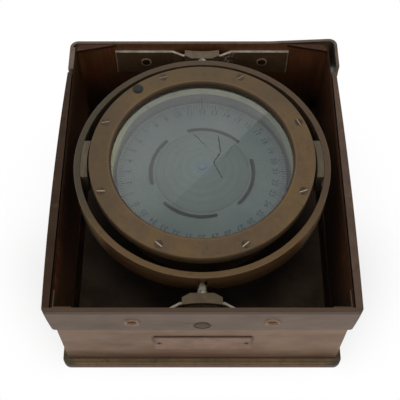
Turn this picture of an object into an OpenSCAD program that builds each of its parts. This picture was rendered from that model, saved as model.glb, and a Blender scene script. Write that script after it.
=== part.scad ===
// Marine compass: a liquid-filled bowl hung in a gimbal ring inside an open metal case.
// Front is towards -Y. Z = 0 is the underside of the base board, midway under the gimbal axes.

/* [Card and float] */
// Radius of the compass card
card_r = 64.5; // [55:0.5:75]
// Thickness of the card
card_t = 0.8; // [0.6:0.1:1.5]
// How far the card's upper face lies below the gimbal axes
card_drop = 4.6; // [3:0.1:8]
// Angle the card has turned from the lubber point at rest
card_turn = -15; // [-180:1:180]
// Radius of the middle of the four curved slots in the card
slot_r = 39; // [38.5:0.5:46]
// Width of each curved slot
slot_w = 2.9; // [2:0.1:3.6]
// Angle that each curved slot covers
slot_span = 60; // [30:1:75]
// Radius of the float's dome where it meets the card
dome_r = 36; // [33:0.5:36.5]
// Height of the dome above the card
dome_h = 7.9; // [7.5:0.1:9.5]
// Thickness of the float's sheet metal
float_t = 0.6; // [0.4:0.1:1]
// Depth of the float below the card
float_d = 12; // [9:0.5:16]
// Radius of each bar magnet
magnet_r = 2; // [1.5:0.1:3]
// Length of the longer pair of magnets
magnet_l = 54; // [40:1:60]
// Radius of the cap that holds the jewel
cap_r = 3.2; // [3:0.1:4]

/* [Bowl] */
// Gap between the card's edge and the bowl
card_gap = 3.5; // [2.5:0.1:6]
// Wall thickness of the bowl
bowl_t = 3.5; // [2.5:0.1:5]
// Depth of the bowl's underside below the gimbal axes
bowl_depth = 56.5; // [52:0.5:64]
// Outer radius of the turn between the bowl's wall and its bottom
bowl_turn_r = 32; // [24:0.5:36]
// Height of the bezel's top above the gimbal axes
bezel_rise = 18; // [16:0.5:24]
// Thickness of the bezel
bezel_t = 3; // [2:0.1:5]
// How far the bezel reaches in past the bowl's wall
bezel_lip = 0.5; // [0:0.1:2]
// Depth of the bezel's skirt, which holds the glass down
bezel_skirt = 1.5; // [0.5:0.1:2]
// Thickness of the flange under the bezel
flange_t = 6; // [5.5:0.1:8]
// Thickness of the cover glass
glass_t = 3; // [2.5:0.1:4]
// Width of the glass's seat on its gasket
glass_seat = 5.8; // [4:0.1:8]
// Thickness of the gasket under the glass
gasket_t = 0.5; // [0.3:0.1:0.9]
// Metal between the glass's recess and the bezel's outer edge
flange_w = 9.5; // [8:0.1:13]
// Number of bezel screws
screw_n = 8; // [6:1:12]
// Radius of a bezel screw's head
screw_head_r = 2.45; // [2:0.05:3.2]
// Radius of a bezel screw's shank
screw_r = 1.5; // [1:0.05:1.8]
// Angle of the filler plug round the bezel
filler_angle = 129; // [120:1:145]
// Radius of the filler plug's head
filler_head_r = 3.9; // [3.6:0.1:4.2]
// Height of the filler plug's head
filler_head_h = 1; // [0.6:0.1:2]
// Radius of the filler plug's thread
filler_r = 2.9; // [2:0.1:3.1]
// Radius of the lubber point
lubber_r = 0.5; // [0.3:0.1:0.8]
// How far the lubber point reaches over the card
lubber_over = 2; // [0.5:0.1:5]

/* [Bowl's underside] */
// Inner radius of the expansion chamber
chamber_r = 30; // [26:0.5:32]
// Wall thickness of the chamber
chamber_t = 4; // [3.5:0.1:5]
// Height of the chamber
chamber_h = 7; // [5:0.5:9]
// Depth of the chamber's cover
cover_d = 5.5; // [4:0.1:7]
// Thickness of the cover's metal
cover_t = 1.2; // [0.8:0.1:2]
// Number of cover screws
cover_screw_n = 6; // [4:1:10]
// Outer radius of the ballast ring
ballast_r = 45; // [40:0.5:48]
// Height of the ballast ring
ballast_h = 8; // [5:0.5:9]
// Radius of the pivot post
post_r = 3.4; // [2.5:0.1:4]
// Radius of the pivot needle
needle_r = 0.9; // [0.6:0.1:1.2]

/* [Gimbals] */
// Gap between the bezel and the gimbal ring
ring_gap = 7.1; // [6:0.1:11]
// Thickness of the gimbal ring
ring_t = 4.8; // [4:0.1:7]
// Height of the gimbal ring
ring_h = 20; // [16:0.5:26]
// Height of the ring's upper edge above the gimbal axes
ring_rise = 11; // [9:0.1:12]
// Gap between the bezel and each bearing pad
pad_gap = 1.8; // [1.7:0.1:3]
// Width of each bearing pad along the ring
pad_w = 32; // [20:0.5:36]
// How far the bearing pads' middles lie behind their bores
pad_shift = 1.9; // [0:0.1:4]
// Radius of the bowl's trunnions
trunnion_r = 3; // [2:0.1:4]
// Radius of the bosses that hold the trunnions
boss_r = 6; // [5:0.1:7]
// Radius of the pivot screws' tips
tip_r = 1.9; // [1.4:0.1:2.5]
// Radius of the pivot screws' threads
pivot_r = 3; // [2.5:0.1:3.3]
// Radial running clearance of both pairs of bearings
run_gap = 0.06; // [0.03:0.01:0.09]
// Radial gap round threads, rivets and pressed-in pins
fit_gap = 0.04; // [0.02:0.01:0.1]
// Gap between the gimbal ring and each bearing block
block_gap = 7.8; // [5:0.1:10]

/* [Brackets] */
// Thickness of the bracket strip
strip_t = 2.2; // [1.5:0.1:3]
// Height of the bracket strip
strip_h = 26.5; // [24:0.5:32]
// Half length of the bracket strip along the case
strip_l = 71.5; // [62:0.5:85]
// How far the strip's middle stands off the case wall
strip_off = 4.8; // [2.5:0.1:8]
// Half width of the strip's middle
strip_mid = 15.5; // [14.6:0.1:20]
// Length of the slanting part of the strip along the case
strip_slant = 8.5; // [5:0.1:14]
// Height of the strip's upper edge above the gimbal axes
strip_rise = 0.5; // [0:0.1:2]
// Depth of the bearing block in front of the strip
block_d = 5.1; // [4:0.1:8]
// Half width of the bearing block
block_w = 14; // [12:0.1:14.5]
// Half width of the block's face towards the ring
block_face_w = 8.3; // [6:0.1:11]
// Height of the block's top above the gimbal axes
block_rise = 4; // [3.8:0.1:6]
// Height of the bearing block
block_h = 13; // [10:0.5:18]
// Half spacing of the front bracket's rivets
rivet_x = 49; // [40:0.5:58]
// Distance of the rear bracket's left rivet from the middle
rear_left_x = 46.4; // [40:0.1:58]
// Distance of the rear bracket's right rivet from the middle
rear_right_x = 49.9; // [40:0.1:58]
// How far the rivets lie below the gimbal axes
rivet_drop = 11.8; // [9:0.1:16]
// Radius of the rivets' shanks
rivet_r = 2; // [1.5:0.1:2.4]
// Radius of the cup washers
washer_r = 5.8; // [5:0.1:7]
// Radius of the plain washers inside the rear wall
plain_washer_r = 4.4; // [3.8:0.1:6]

/* [Case] */
// Gap between the gimbal ring and the side walls
side_room = 6.5; // [4:0.1:12]
// Gap between the bowl's lowest swing and the floor
floor_room = 5.2; // [4:0.1:15]
// Height of the case's rim above the gimbal axes
rim_rise = 7; // [6:0.1:10]
// Thickness of the side and rear walls
wall_t = 1.4; // [1:0.1:2]
// Thickness of the folded front wall
front_t = 3.3; // [2.4:0.1:5]
// Outer radius of the rear wall's corners
rear_corner_r = 5; // [4:0.1:7]
// Thickness of the base board
base_t = 6; // [4:0.1:12]
// How far the base board stands out past the side walls
ledge_x = 3.9; // [2:0.1:10]
// How far the base board stands out past the front and rear
ledge_y = 6.4; // [3:0.1:12]
// Corner radius of the base board
base_corner_r = 6; // [4:0.5:16]
// Thickness of the floor sheet
floor_t = 1.2; // [0.8:0.1:2]
// Height of the bead round the floor
bead_h = 8; // [4:0.5:10]
// Width of the bead round the floor
bead_w = 4; // [2:0.1:6]
// Width of each leg of the front corner angles
angle_w = 13; // [8:0.5:16]
// Thickness of the corner angles
angle_t = 0.8; // [0.5:0.1:1.2]

/* [Rim bands] */
// Height of the bands round the rim
band_h = 33.5; // [26:0.5:45]
// How far the side bands' front ends stand out from the walls
band_t = 5.8; // [4.5:0.1:7]
// How much less far their rear ends stand out
band_taper = 1.6; // [0.5:0.1:2]
// How far the left band bows outwards in its middle
left_bow = 2; // [0.5:0.1:3]
// How far the right band bows outwards in its middle
right_bow = 1.3; // [0.5:0.1:3]
// Angle at which the side bands' outer faces lean in towards the bottom
band_lean = 4.9; // [1:0.1:6]
// Width of the groove between each side band and its wall
groove_w = 0.8; // [0.5:0.1:1.5]
// Depth of that groove
groove_d = 5; // [2:0.1:10]
// Radius of the lower corners of the front wall's wide part
band_edge_r = 2.6; // [1:0.1:2.6]
// Thickness of the rear band
rear_band_t = 2.4; // [1.5:0.1:3]
// Length that the rear band wraps along each side
wrap_l = 28.5; // [20:0.5:45]
// Gap between the rear band's ends and the side bands
band_break = 3.5; // [2:0.1:8]
// How far the rear band's right end has sprung outwards
spring_x = 3.1; // [0:0.1:4]
// How far the rear band's right end has sprung backwards
spring_y = 2.6; // [0:0.1:4]
// Distance from the middle at which the rear band leaves the wall
spring_start = 55; // [50:1:75]
// Distance from the middle at which the webs in the rear corners start
web_start = 70; // [60:1:85]
// How far the webs reach forwards along the side walls
web_d = 6.5; // [6:0.1:10]
// Thickness of the webs
web_t = 2.4; // [1:0.1:3]

/* [Nameplate] */
// Width of the bare nameplate
plate_w = 72; // [66:0.5:90]
// Height of the bare nameplate
plate_h = 25; // [16:0.5:32]
// Thickness of the nameplate
plate_t = 0.8; // [0.5:0.1:1.5]
// Height of the nameplate's middle above the base board
plate_z = 33; // [24:0.5:40]
// How far the nameplate lies right of the middle
plate_x = 0.5; // [0:0.1:2]
// Half spacing of the nameplate's pins
plate_pin_x = 32.1; // [20:0.1:32.5]
// Radius of the plain stamped ring above the nameplate
stamp_r = 6; // [4:0.1:7]

/* [Hidden] */
$fn = 96;
// Small overlap that lets a cut pass cleanly through a face
eps = 0.01;

// Bowl, from the card outwards
bowl_in_r = card_r + card_gap;
bowl_out_r = bowl_in_r + bowl_t;
glass_r = bowl_in_r + glass_seat;
glass_slack = 0.2;
boss_reach = 7.5;
recess_r = glass_r + glass_slack;
bezel_r = recess_r + flange_w;
bezel_in_r = bowl_in_r - bezel_lip;
screw_circle_r = recess_r + flange_w / 2;
trunnion_x = bowl_out_r + boss_reach;

// Gimbals, from the bowl outwards
ring_in_r = bezel_r + ring_gap;
ring_r = ring_in_r + ring_t;
pad_in_r = bezel_r + pad_gap;
block_y = ring_r + block_gap;
strip_y = block_y + block_d;
cap_depth = 3.5;
shoulder_d = 3.2;
arch_r = 82;
arch_rise = 1.2;
neck_gap = 0.8;
collar_w = 1;

// Case, from the gimbals outwards
in_x = ring_r + side_room;
out_x = in_x + wall_t;
front_in_y = strip_y + strip_t + strip_off;
front_y = front_in_y + front_t;
rear_wall_y = front_y - rear_band_t;
rear_in_y = rear_wall_y - wall_t;
band_x = out_x + band_t;
rear_band_x = band_x - band_taper;
rear_band_r = rear_corner_r + rear_band_t - 1;
wrap_y = front_y - wrap_l;
band_end_y = wrap_y - band_break;
band_l = front_in_y + band_end_y;

// Heights
bowl_bottom = -bowl_depth;
chamber_bottom = bowl_bottom - chamber_h;
diaphragm_t = 0.5;
cover_top = chamber_bottom - diaphragm_t;
cover_bottom = cover_top - cover_d;
chamber_out_r = chamber_r + chamber_t;
swing_cover = sqrt(pow(chamber_out_r, 2) + pow(cover_bottom, 2));
swing_ballast = sqrt(pow(ballast_r, 2) + pow(bowl_bottom - ballast_h, 2));
swing_r = max(swing_cover, swing_ballast);
// The axes' height is rounded to a tenth of a millimetre
axis_z = round(10 * (base_t + floor_t + floor_room + swing_r)) / 10;
rim_z = axis_z + rim_rise;
wall_h = rim_z - base_t;
floor_z = base_t + floor_t;
band_z = rim_z - band_h;

// Bowl's levels above the gimbal axes
bezel_bottom = bezel_rise - bezel_t;
flange_bottom = bezel_bottom - flange_t;
glass_top = bezel_bottom - bezel_skirt;
glass_bottom = glass_top - glass_t;
seat_z = glass_bottom - gasket_t;
trunnion_in_x = bowl_out_r + 1;
turn_z = bowl_bottom + bowl_turn_r;
turn_x = bowl_out_r - bowl_turn_r;
bowl_floor = bowl_bottom + bowl_t;

// Card's levels above the gimbal axes
card_top = -card_drop;
card_bottom = card_top - card_t;
dome_top = card_top + dome_h;
dome_sphere_r = (pow(dome_r, 2) + pow(dome_h, 2)) / (2 * dome_h);
pan_bottom = card_bottom - float_d;
pan_slope = 5;
pan_r = dome_r - pan_slope;
lubber_z = card_top + 1.2;
lubber_seat = bowl_t - 1.2;
sleeve_r = 7.5;
cup_r = 4.4;
cup_depth = 5;
cup_bottom = dome_top - cup_depth;
tip_top = dome_top - 1.7;
tip_gap = 0.6;
magnet_z = pan_bottom - magnet_r;
magnet_places = [[-22, 0.8], [-12, 1], [12, 1], [22, 0.8]];

// Pivot post
post_top = card_bottom - 4;
post_foot_r = 14;
post_foot_t = 3;
stud_r = 2.4;
nut_r = 4.8;
nut_t = 2.4;
port_n = 4;
port_r = 3;
port_circle_r = 20;

// Fastenings, with the places of the rivets seen from each bracket's own wall
front_rivets = [-rivet_x, rivet_x];
rear_rivets = [-rear_right_x, rear_left_x];
screw_turns = [16, -65, 25, -22, 20, 0, -41, 48];
screw_l = bezel_t + 4;
head_h = 1.3;
slot_cut_w = 0.7;
slot_cut_d = 0.6;
cover_screw_r = 0.85;
cover_screw_head_r = 1.6;
cover_screw_head_h = 1.1;
cover_screw_l = chamber_h - 2;
cover_circle_r = chamber_r + chamber_t * 0.45;
plate_pin_r = 0.8;
plate_pin_head_r = 1.4;
plate_pin_head_h = 0.5;
plate_pin_l = 2;
washer_h = 1.1;
washer_floor = 0.5;
rivet_head_r = 3.3;
rivet_head_h = 0.9;
stamp_d = 0.3;
filler_boss_r = filler_r + 2.2;
filler_boss_h = 10;
filler_port_r = 1.5;
filler_washer_t = 0.3;
filler_end_z = flange_bottom - 2;
filler_hole_z = filler_end_z - 2 * filler_port_r - 1;

copper = "peru";
brass = "darkgoldenrod";
old_brass = "#7a6248";
case_metal = "#6e5b4f";
dark_metal = "#4a2c20";
grey_metal = "slategray";
steel = "silver";

// A ring-shaped outline between two radii
module ring_2d(r_out, r_in) {
    difference() {
        circle(r = r_out);
        circle(r = r_in);
    }
}

// A quarter of a bent sheet's outline, on the rear right for side 1 and on the rear left for side -1
module bend_2d(r, t, side) {
    intersection() {
        ring_2d(r, r - t);
        translate([side > 0 ? 0 : -r, 0]) square(r);
    }
}

// A rectangle with round corners
module rounded_rect(w, d, r) {
    union() {
        square([w - 2 * r, d], center = true);
        square([w, d - 2 * r], center = true);
        for (x = [-1, 1], y = [-1, 1])
            translate([x * (w / 2 - r), y * (d / 2 - r)]) circle(r = r);
    }
}

// Children are placed on the gimbal axes' crossing
module on_axes() {
    translate([0, 0, axis_z]) children();
}

// Children are repeated round the vertical axis
module around(count, start = 0) {
    for (i = [0 : count - 1]) rotate([0, 0, start + 360 * i / count]) children();
}

// Case

module base_board() {
    color(case_metal)
        linear_extrude(height = base_t)
            rounded_rect(2 * (out_x + ledge_x), 2 * (front_y + ledge_y), base_corner_r);
}

// The case's inside in plan, with both rear corners rounded
module inside_2d() {
    r = rear_corner_r;
    translate([-in_x, -front_in_y]) square([2 * in_x, front_in_y + rear_in_y - r]);
    translate([-in_x + r, rear_in_y - r]) square([2 * (in_x - r), r]);
    for (x = [-1, 1]) translate([x * (in_x - r), rear_in_y - r]) circle(r = r);
}

module floor_panel() {
    color(dark_metal)
        translate([0, 0, base_t]) linear_extrude(height = floor_t) inside_2d();
}

// One strip of bead, flat on top beside the wall and then slanting down
module bead(length) {
    rotate([90, 0, 0])
        translate([0, 0, -length / 2])
            linear_extrude(height = length)
                polygon([[0, 0], [bead_w, 0], [bead_w, bead_h * 0.4], [angle_t, bead_h], [0, bead_h]]);
}

module floor_beads() {
    mid_y = (rear_in_y - front_in_y) / 2;
    side_l = front_in_y + rear_in_y;
    cross_l = 2 * (in_x - bead_w);
    color(dark_metal)
        translate([0, 0, floor_z])
            intersection() {
                union() {
                    translate([-in_x, mid_y, 0]) bead(side_l);
                    translate([in_x, mid_y, 0]) rotate([0, 0, 180]) bead(side_l);
                    translate([0, -front_in_y, 0]) rotate([0, 0, 90]) bead(cross_l);
                    translate([0, rear_in_y, 0]) rotate([0, 0, -90]) bead(cross_l);
                }
                linear_extrude(height = bead_h) inside_2d();
            }
}

// Outline of the front wall seen from the front: it covers the ends of the side bands and leans like them
module front_outline() {
    drop = band_h - band_edge_r;
    corner_x = band_x - (band_edge_r + drop * sin(band_lean)) / cos(band_lean);
    corner_z = band_z + band_edge_r;
    edge_x = corner_x + band_edge_r * cos(band_lean);
    edge_z = corner_z - band_edge_r * sin(band_lean);
    union() {
        translate([-out_x, base_t]) square([2 * out_x, wall_h]);
        polygon([
            [-corner_x, band_z], [corner_x, band_z], [edge_x, edge_z],
            [band_x, rim_z], [-band_x, rim_z], [-edge_x, edge_z]
        ]);
        for (x = [-1, 1]) translate([x * corner_x, corner_z]) circle(r = band_edge_r);
    }
}

// Rivet holes at the given places along a wall or strip on the front
module rivet_holes(places) {
    for (x = places)
        translate([x, -front_y / 2, axis_z - rivet_drop])
            rotate([90, 0, 0]) cylinder(r = rivet_r + fit_gap, h = front_y);
}

module front_wall() {
    edge_r = front_t - 0.4;
    color(case_metal)
        difference() {
            intersection() {
                translate([0, -front_in_y, 0])
                    rotate([90, 0, 0]) linear_extrude(height = front_t) front_outline();
                translate([0, -front_in_y, 0])
                    linear_extrude(height = rim_z) {
                        translate([-band_x + edge_r, -front_t]) square([2 * (band_x - edge_r), front_t]);
                        translate([-band_x, -front_t + edge_r]) square([2 * band_x, front_t - edge_r]);
                        for (x = [-1, 1])
                            translate([x * (band_x - edge_r), -front_t + edge_r]) circle(r = edge_r);
                    }
            }
            rivet_holes(front_rivets);
            translate([0, -front_y - eps, axis_z - rivet_drop - stamp_r])
                rotate([-90, 0, 0])
                    linear_extrude(height = stamp_d + eps) ring_2d(stamp_r, stamp_r - 1);
            for (x = [-1, 1])
                translate([plate_x + x * plate_pin_x, -front_y - eps, base_t + plate_z])
                    rotate([-90, 0, 0])
                        cylinder(r = plate_pin_r + fit_gap, h = plate_pin_l + eps, $fn = 32);
        }
}

// Rear wall in plan, with its two rounded returns
module rear_plan() {
    r = rear_corner_r;
    for (x = [-1, 1]) translate([x * (out_x - r), rear_wall_y - r]) bend_2d(r, wall_t, x);
    translate([-out_x + r, rear_in_y]) square([2 * (out_x - r), wall_t]);
}

module rear_wall() {
    color(dark_metal)
        difference() {
            translate([0, 0, base_t]) linear_extrude(height = wall_h) rear_plan();
            rotate([0, 0, 180]) rivet_holes(rear_rivets);
        }
}

module side_wall(x_in) {
    color(dark_metal)
        translate([x_in, -front_in_y, base_t])
            cube([wall_t, front_in_y + rear_wall_y - rear_corner_r, wall_h]);
}

module left_wall() {
    side_wall(-out_x);
}

module right_wall() {
    side_wall(in_x);
}

// Right-hand side band: flat and grooved next to the wall, with an outer face that bows and leans
module side_band(bow) {
    half_chord = norm([band_l, band_taper]) / 2;
    bow_r = (pow(half_chord, 2) + pow(bow, 2)) / (2 * bow);
    color(case_metal)
        difference() {
            intersection() {
                translate([out_x, -front_in_y, band_z]) cube([2 * band_t, band_l, band_h]);
                translate([band_x, 0, rim_z])
                    rotate([0, band_lean, 0])
                        translate([-band_taper / 2, -front_in_y + band_l / 2, -1.5 * band_h])
                            linear_extrude(height = 2 * band_h)
                                rotate([0, 0, atan(band_taper / band_l)])
                                    translate([bow - bow_r, 0]) circle(r = bow_r, $fn = 1440);
            }
            translate([out_x - eps, -front_in_y - eps, rim_z - groove_d])
                cube([groove_w + eps, band_l + 2 * eps, groove_d + eps]);
        }
}

module right_band() {
    side_band(right_bow);
}

module left_band() {
    mirror([1, 0, 0]) side_band(left_bow);
}

// Rear band in plan: close to the wall up to where it has sprung away, then slanting to its right corner
module rear_band_plan() {
    r = rear_band_r;
    t = rear_band_t;
    left_corner = [-rear_band_x + r, front_y - r];
    right_corner = [rear_band_x + spring_x - r, front_y + spring_y - r];
    wrap = front_y - r - wrap_y;
    translate([-rear_band_x, wrap_y]) square([rear_band_x - out_x, wrap]);
    translate(left_corner) bend_2d(r, t, -1);
    translate(left_corner + [0, r - t]) square([spring_start - left_corner[0], t]);
    polygon([
        [spring_start, front_y - t], [spring_start, front_y],
        right_corner + [0, r], right_corner + [0, r - t]
    ]);
    translate(right_corner) bend_2d(r, t, 1);
    translate(right_corner + [r - t, -wrap]) square([t, wrap]);
}

module rear_band() {
    color(case_metal)
        difference() {
            translate([0, 0, band_z]) linear_extrude(height = band_h) rear_band_plan();
            rotate([0, 0, 180]) rivet_holes(rear_rivets);
        }
}

// Webs that close the rim's two rear corners between the walls
module rim_webs() {
    color(case_metal)
        translate([0, 0, rim_z - web_t])
            linear_extrude(height = web_t)
                intersection() {
                    inside_2d();
                    for (x = [-1, 1])
                        polygon([
                            [x * web_start, rear_in_y], [x * in_x, rear_in_y - web_d], [x * in_x, rear_in_y]
                        ]);
                }
}

// Thin angle pieces that close the two front corners above the beads
module corner_angles() {
    foot_z = floor_z + bead_h;
    color(case_metal)
        for (side = [0, 1])
            mirror([side, 0, 0])
                translate([-in_x, -front_in_y, foot_z])
                    difference() {
                        cube([angle_w, angle_w, rim_z - foot_z]);
                        translate([angle_t, angle_t, -eps])
                            cube([angle_w, angle_w, rim_z - foot_z + 2 * eps]);
                    }
}

// Bracket strip on the front wall; wall_at is the distance of the wall's inner face
module bracket(wall_at, rivets) {
    wing = -wall_at;
    mid = -strip_y - strip_t;
    foot = strip_mid + strip_slant;
    path = [
        [-strip_l, wing], [-foot, wing], [-strip_mid, mid],
        [strip_mid, mid], [foot, wing], [strip_l, wing]
    ];
    color(grey_metal)
        difference() {
            translate([0, 0, axis_z + strip_rise - strip_h])
                linear_extrude(height = strip_h)
                    polygon(concat(path, [for (i = [len(path) - 1 : -1 : 0]) path[i] + [0, strip_t]]));
            rivet_holes(rivets);
        }
}

module front_bracket() {
    bracket(front_in_y, front_rivets);
}

module rear_bracket() {
    rotate([0, 0, 180]) bracket(rear_in_y, rear_rivets);
}

// Bearing block on the front bracket, hooked over the strip's upper edge
module bearing_block() {
    face = -block_y;
    back = -strip_y;
    hook = back - cap_depth;
    shoulder = face - shoulder_d;
    color(old_brass)
        difference() {
            union() {
                translate([0, 0, block_rise - block_h])
                    linear_extrude(height = block_h)
                        polygon([
                            [-block_face_w, face], [-block_w, shoulder], [-block_w, back],
                            [block_w, back], [block_w, shoulder], [block_face_w, face]
                        ]);
                translate([0, 0, strip_rise])
                    linear_extrude(height = block_rise - strip_rise)
                        difference() {
                            translate([-block_w, hook]) square([2 * block_w, cap_depth + 1]);
                            translate([0, hook + arch_rise - arch_r]) circle(r = arch_r);
                        }
            }
            translate([0, back - eps, 0])
                rotate([-90, 0, 0]) cylinder(r = pivot_r + fit_gap, h = block_d + 2 * eps);
        }
}

module front_bearing_block() {
    on_axes() bearing_block();
}

module rear_bearing_block() {
    on_axes() rotate([0, 0, 180]) bearing_block();
}

// Pivot screw on the front: thread in the block, tapered neck, and a plain tip in the ring
module pivot_screw() {
    neck_end = ring_r + neck_gap;
    collar_r = pivot_r + collar_w;
    color(steel)
        rotate([90, 0, 0]) {
            translate([0, 0, block_y]) cylinder(r = pivot_r, h = block_d);
            translate([0, 0, neck_end]) cylinder(r1 = tip_r + 0.3, r2 = collar_r, h = block_y - neck_end);
            translate([0, 0, ring_in_r + 1]) cylinder(r = tip_r, h = neck_end - ring_in_r - 1);
        }
}

module front_pivot_screw() {
    on_axes() pivot_screw();
}

module rear_pivot_screw() {
    on_axes() rotate([0, 0, 180]) pivot_screw();
}

// One rivet lying along +Z from face a to face b, with a low round head in each cup washer
module rivet(a, b) {
    translate([0, 0, a - washer_floor]) cylinder(r = rivet_r, h = b - a + 2 * washer_floor, $fn = 48);
    for (end = [[a - washer_floor, 180], [b + washer_floor, 0]])
        translate([0, 0, end[0]])
            rotate([end[1], 0, 0])
                rotate_extrude($fn = 48)
                    polygon([
                        [0, 0], [rivet_head_r, 0], [rivet_head_r, 0.2],
                        [rivet_head_r * 0.75, rivet_head_h * 0.75], [rivet_head_r * 0.4, rivet_head_h],
                        [0, rivet_head_h]
                    ]);
}

// Places the first child on each front rivet and the second on each rear rivet, with +Z pointing out
module rivet_places() {
    translate([0, 0, axis_z - rivet_drop]) {
        for (x = front_rivets) translate([x, 0, 0]) rotate([90, 0, 0]) children(0);
        for (x = rear_rivets) translate([-x, 0, 0]) rotate([-90, 0, 0]) children(1);
    }
}

module bracket_rivets() {
    color(copper)
        rivet_places() {
            rivet(front_in_y - strip_t, front_y);
            rivet(rear_in_y - strip_t, front_y);
        }
}

// Cup washer: a dished ring standing up from +Z
module cup_washer() {
    rotate_extrude($fn = 48)
        polygon([
            [rivet_r + fit_gap, 0], [washer_r, 0], [washer_r - 0.5, washer_h - 0.2],
            [washer_r - 1.2, washer_h], [rivet_head_r + 0.3, washer_floor],
            [rivet_r + fit_gap, washer_floor]
        ]);
}

module plain_washer() {
    linear_extrude(height = washer_floor) ring_2d(plain_washer_r, rivet_r + fit_gap, $fn = 48);
}

module rivet_washers() {
    color(case_metal)
        rivet_places() {
            union() {
                translate([0, 0, front_y]) cup_washer();
                translate([0, 0, front_in_y - strip_t]) rotate([180, 0, 0]) cup_washer();
            }
            union() {
                translate([0, 0, front_y]) cup_washer();
                translate([0, 0, rear_in_y - strip_t]) rotate([180, 0, 0]) plain_washer();
            }
        }
}

module nameplate() {
    color(case_metal)
        translate([plate_x, -front_y, base_t + plate_z])
            rotate([90, 0, 0])
                linear_extrude(height = plate_t)
                    difference() {
                        rounded_rect(plate_w, plate_h, 1.5);
                        for (x = [-1, 1])
                            translate([x * plate_pin_x, 0]) circle(r = plate_pin_r + fit_gap, $fn = 32);
                    }
}

module nameplate_pins() {
    color(copper)
        for (x = [-1, 1])
            translate([plate_x + x * plate_pin_x, -front_y, base_t + plate_z])
                rotate([90, 0, 0]) {
                    translate([0, 0, -plate_pin_l])
                        cylinder(r = plate_pin_r, h = plate_pin_l + plate_t, $fn = 32);
                    translate([0, 0, plate_t])
                        cylinder(
                            r1 = plate_pin_head_r, r2 = plate_pin_head_r * 0.6, h = plate_pin_head_h, $fn = 32
                        );
                }
}

// Gimbals

module gimbal_ring() {
    color(old_brass)
        on_axes()
            difference() {
                translate([0, 0, ring_rise - ring_h])
                    linear_extrude(height = ring_h) ring_2d(ring_r, ring_in_r, $fn = 180);
                rotate([90, 0, 0])
                    cylinder(r = tip_r + run_gap, h = 2 * ring_r + 2, center = true);
            }
}

// Bearing pad on the right-hand inside of the gimbal ring
module bearing_pad() {
    color(old_brass)
        on_axes()
            difference() {
                translate([0, 0, ring_rise - ring_h])
                    linear_extrude(height = ring_h)
                        intersection() {
                            ring_2d(ring_in_r, pad_in_r, $fn = 180);
                            translate([0, pad_shift - pad_w / 2]) square([ring_r, pad_w]);
                        }
                translate([bezel_r, 0, 0])
                    rotate([0, 90, 0]) cylinder(r = trunnion_r + run_gap, h = ring_gap + ring_t);
            }
}

module right_bearing_pad() {
    bearing_pad();
}

module left_bearing_pad() {
    mirror([1, 0, 0]) bearing_pad();
}

// Bowl

// Half of the bowl's section: a wall, a rounded turn and a flat bottom, set in by a distance
module bowl_half(inset) {
    r = bowl_turn_r - inset;
    wall_r = bowl_out_r - inset;
    low_z = bowl_bottom + inset;
    translate([0, turn_z]) square([wall_r, seat_z - turn_z]);
    intersection() {
        translate([turn_x, turn_z]) circle(r = r);
        translate([0, low_z]) square([wall_r, r + eps]);
    }
    translate([0, low_z]) square([turn_x, r + eps]);
}

// The filler's threaded hole, and the port that leads from it into the bowl
module filler_bores() {
    rotate([0, 0, filler_angle]) {
        translate([screw_circle_r, 0, filler_hole_z])
            cylinder(r = filler_r + fit_gap, h = bezel_bottom - filler_hole_z + eps, $fn = 48);
        translate([bowl_in_r - 2, 0, filler_hole_z + filler_port_r + 0.5])
            rotate([0, 90, 0])
                cylinder(r = filler_port_r, h = screw_circle_r - bowl_in_r + 2, $fn = 48);
    }
}

module bowl_shell() {
    color(grey_metal)
        on_axes()
            difference() {
                rotate_extrude($fn = 180)
                    difference() {
                        bowl_half(0);
                        union() {
                            bowl_half(bowl_t);
                            translate([0, seat_z - 1]) square([bowl_in_r, 2]);
                        }
                    }
                filler_bores();
                around(port_n)
                    translate([port_circle_r, 0, bowl_bottom - 1])
                        cylinder(r = port_r, h = bowl_t + 2, $fn = 48);
                translate([0, 0, bowl_bottom - 1]) cylinder(r = stud_r + fit_gap, h = bowl_t + 2, $fn = 48);
                translate([0, bowl_in_r - 1, lubber_z])
                    rotate([-90, 0, 0]) cylinder(r = lubber_r + fit_gap, h = 1 + lubber_seat, $fn = 32);
            }
}

// Boss under the flange that takes the filler plug
module filler_boss() {
    boss_l = screw_circle_r - bowl_out_r + bowl_t / 2;
    half_w = filler_boss_r - 0.2;
    rotate([0, 0, filler_angle])
        translate([0, 0, flange_bottom - filler_boss_h])
            linear_extrude(height = filler_boss_h + 0.5) {
                translate([screw_circle_r, 0]) circle(r = filler_boss_r);
                translate([screw_circle_r - boss_l, -half_w]) square([boss_l, 2 * half_w]);
            }
}

// Flange round the bowl's mouth, with the recess for the glass and the filler's boss
module bowl_flange() {
    inner_r = bowl_out_r + fit_gap;
    color(grey_metal)
        on_axes()
            difference() {
                union() {
                    rotate_extrude($fn = 180)
                        polygon([
                            [inner_r, flange_bottom], [bezel_r, flange_bottom], [bezel_r, bezel_bottom],
                            [recess_r, bezel_bottom], [recess_r, seat_z], [inner_r, seat_z]
                        ]);
                    filler_boss();
                }
                translate([0, 0, flange_bottom - filler_boss_h - 1])
                    cylinder(r = inner_r, h = filler_boss_h + 2, $fn = 180);
                filler_bores();
                around(screw_n, 180 / screw_n)
                    translate([screw_circle_r, 0, bezel_rise - screw_l])
                        cylinder(r = screw_r + fit_gap, h = screw_l, $fn = 48);
            }
}

// Ring under the bowl that forms the expansion chamber
module chamber_ring() {
    color(grey_metal)
        on_axes()
            difference() {
                translate([0, 0, chamber_bottom])
                    linear_extrude(height = chamber_h) ring_2d(chamber_out_r, chamber_r);
                around(cover_screw_n)
                    translate([cover_circle_r, 0, chamber_bottom - eps])
                        cylinder(r = cover_screw_r + fit_gap, h = cover_screw_l, $fn = 32);
            }
}

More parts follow.
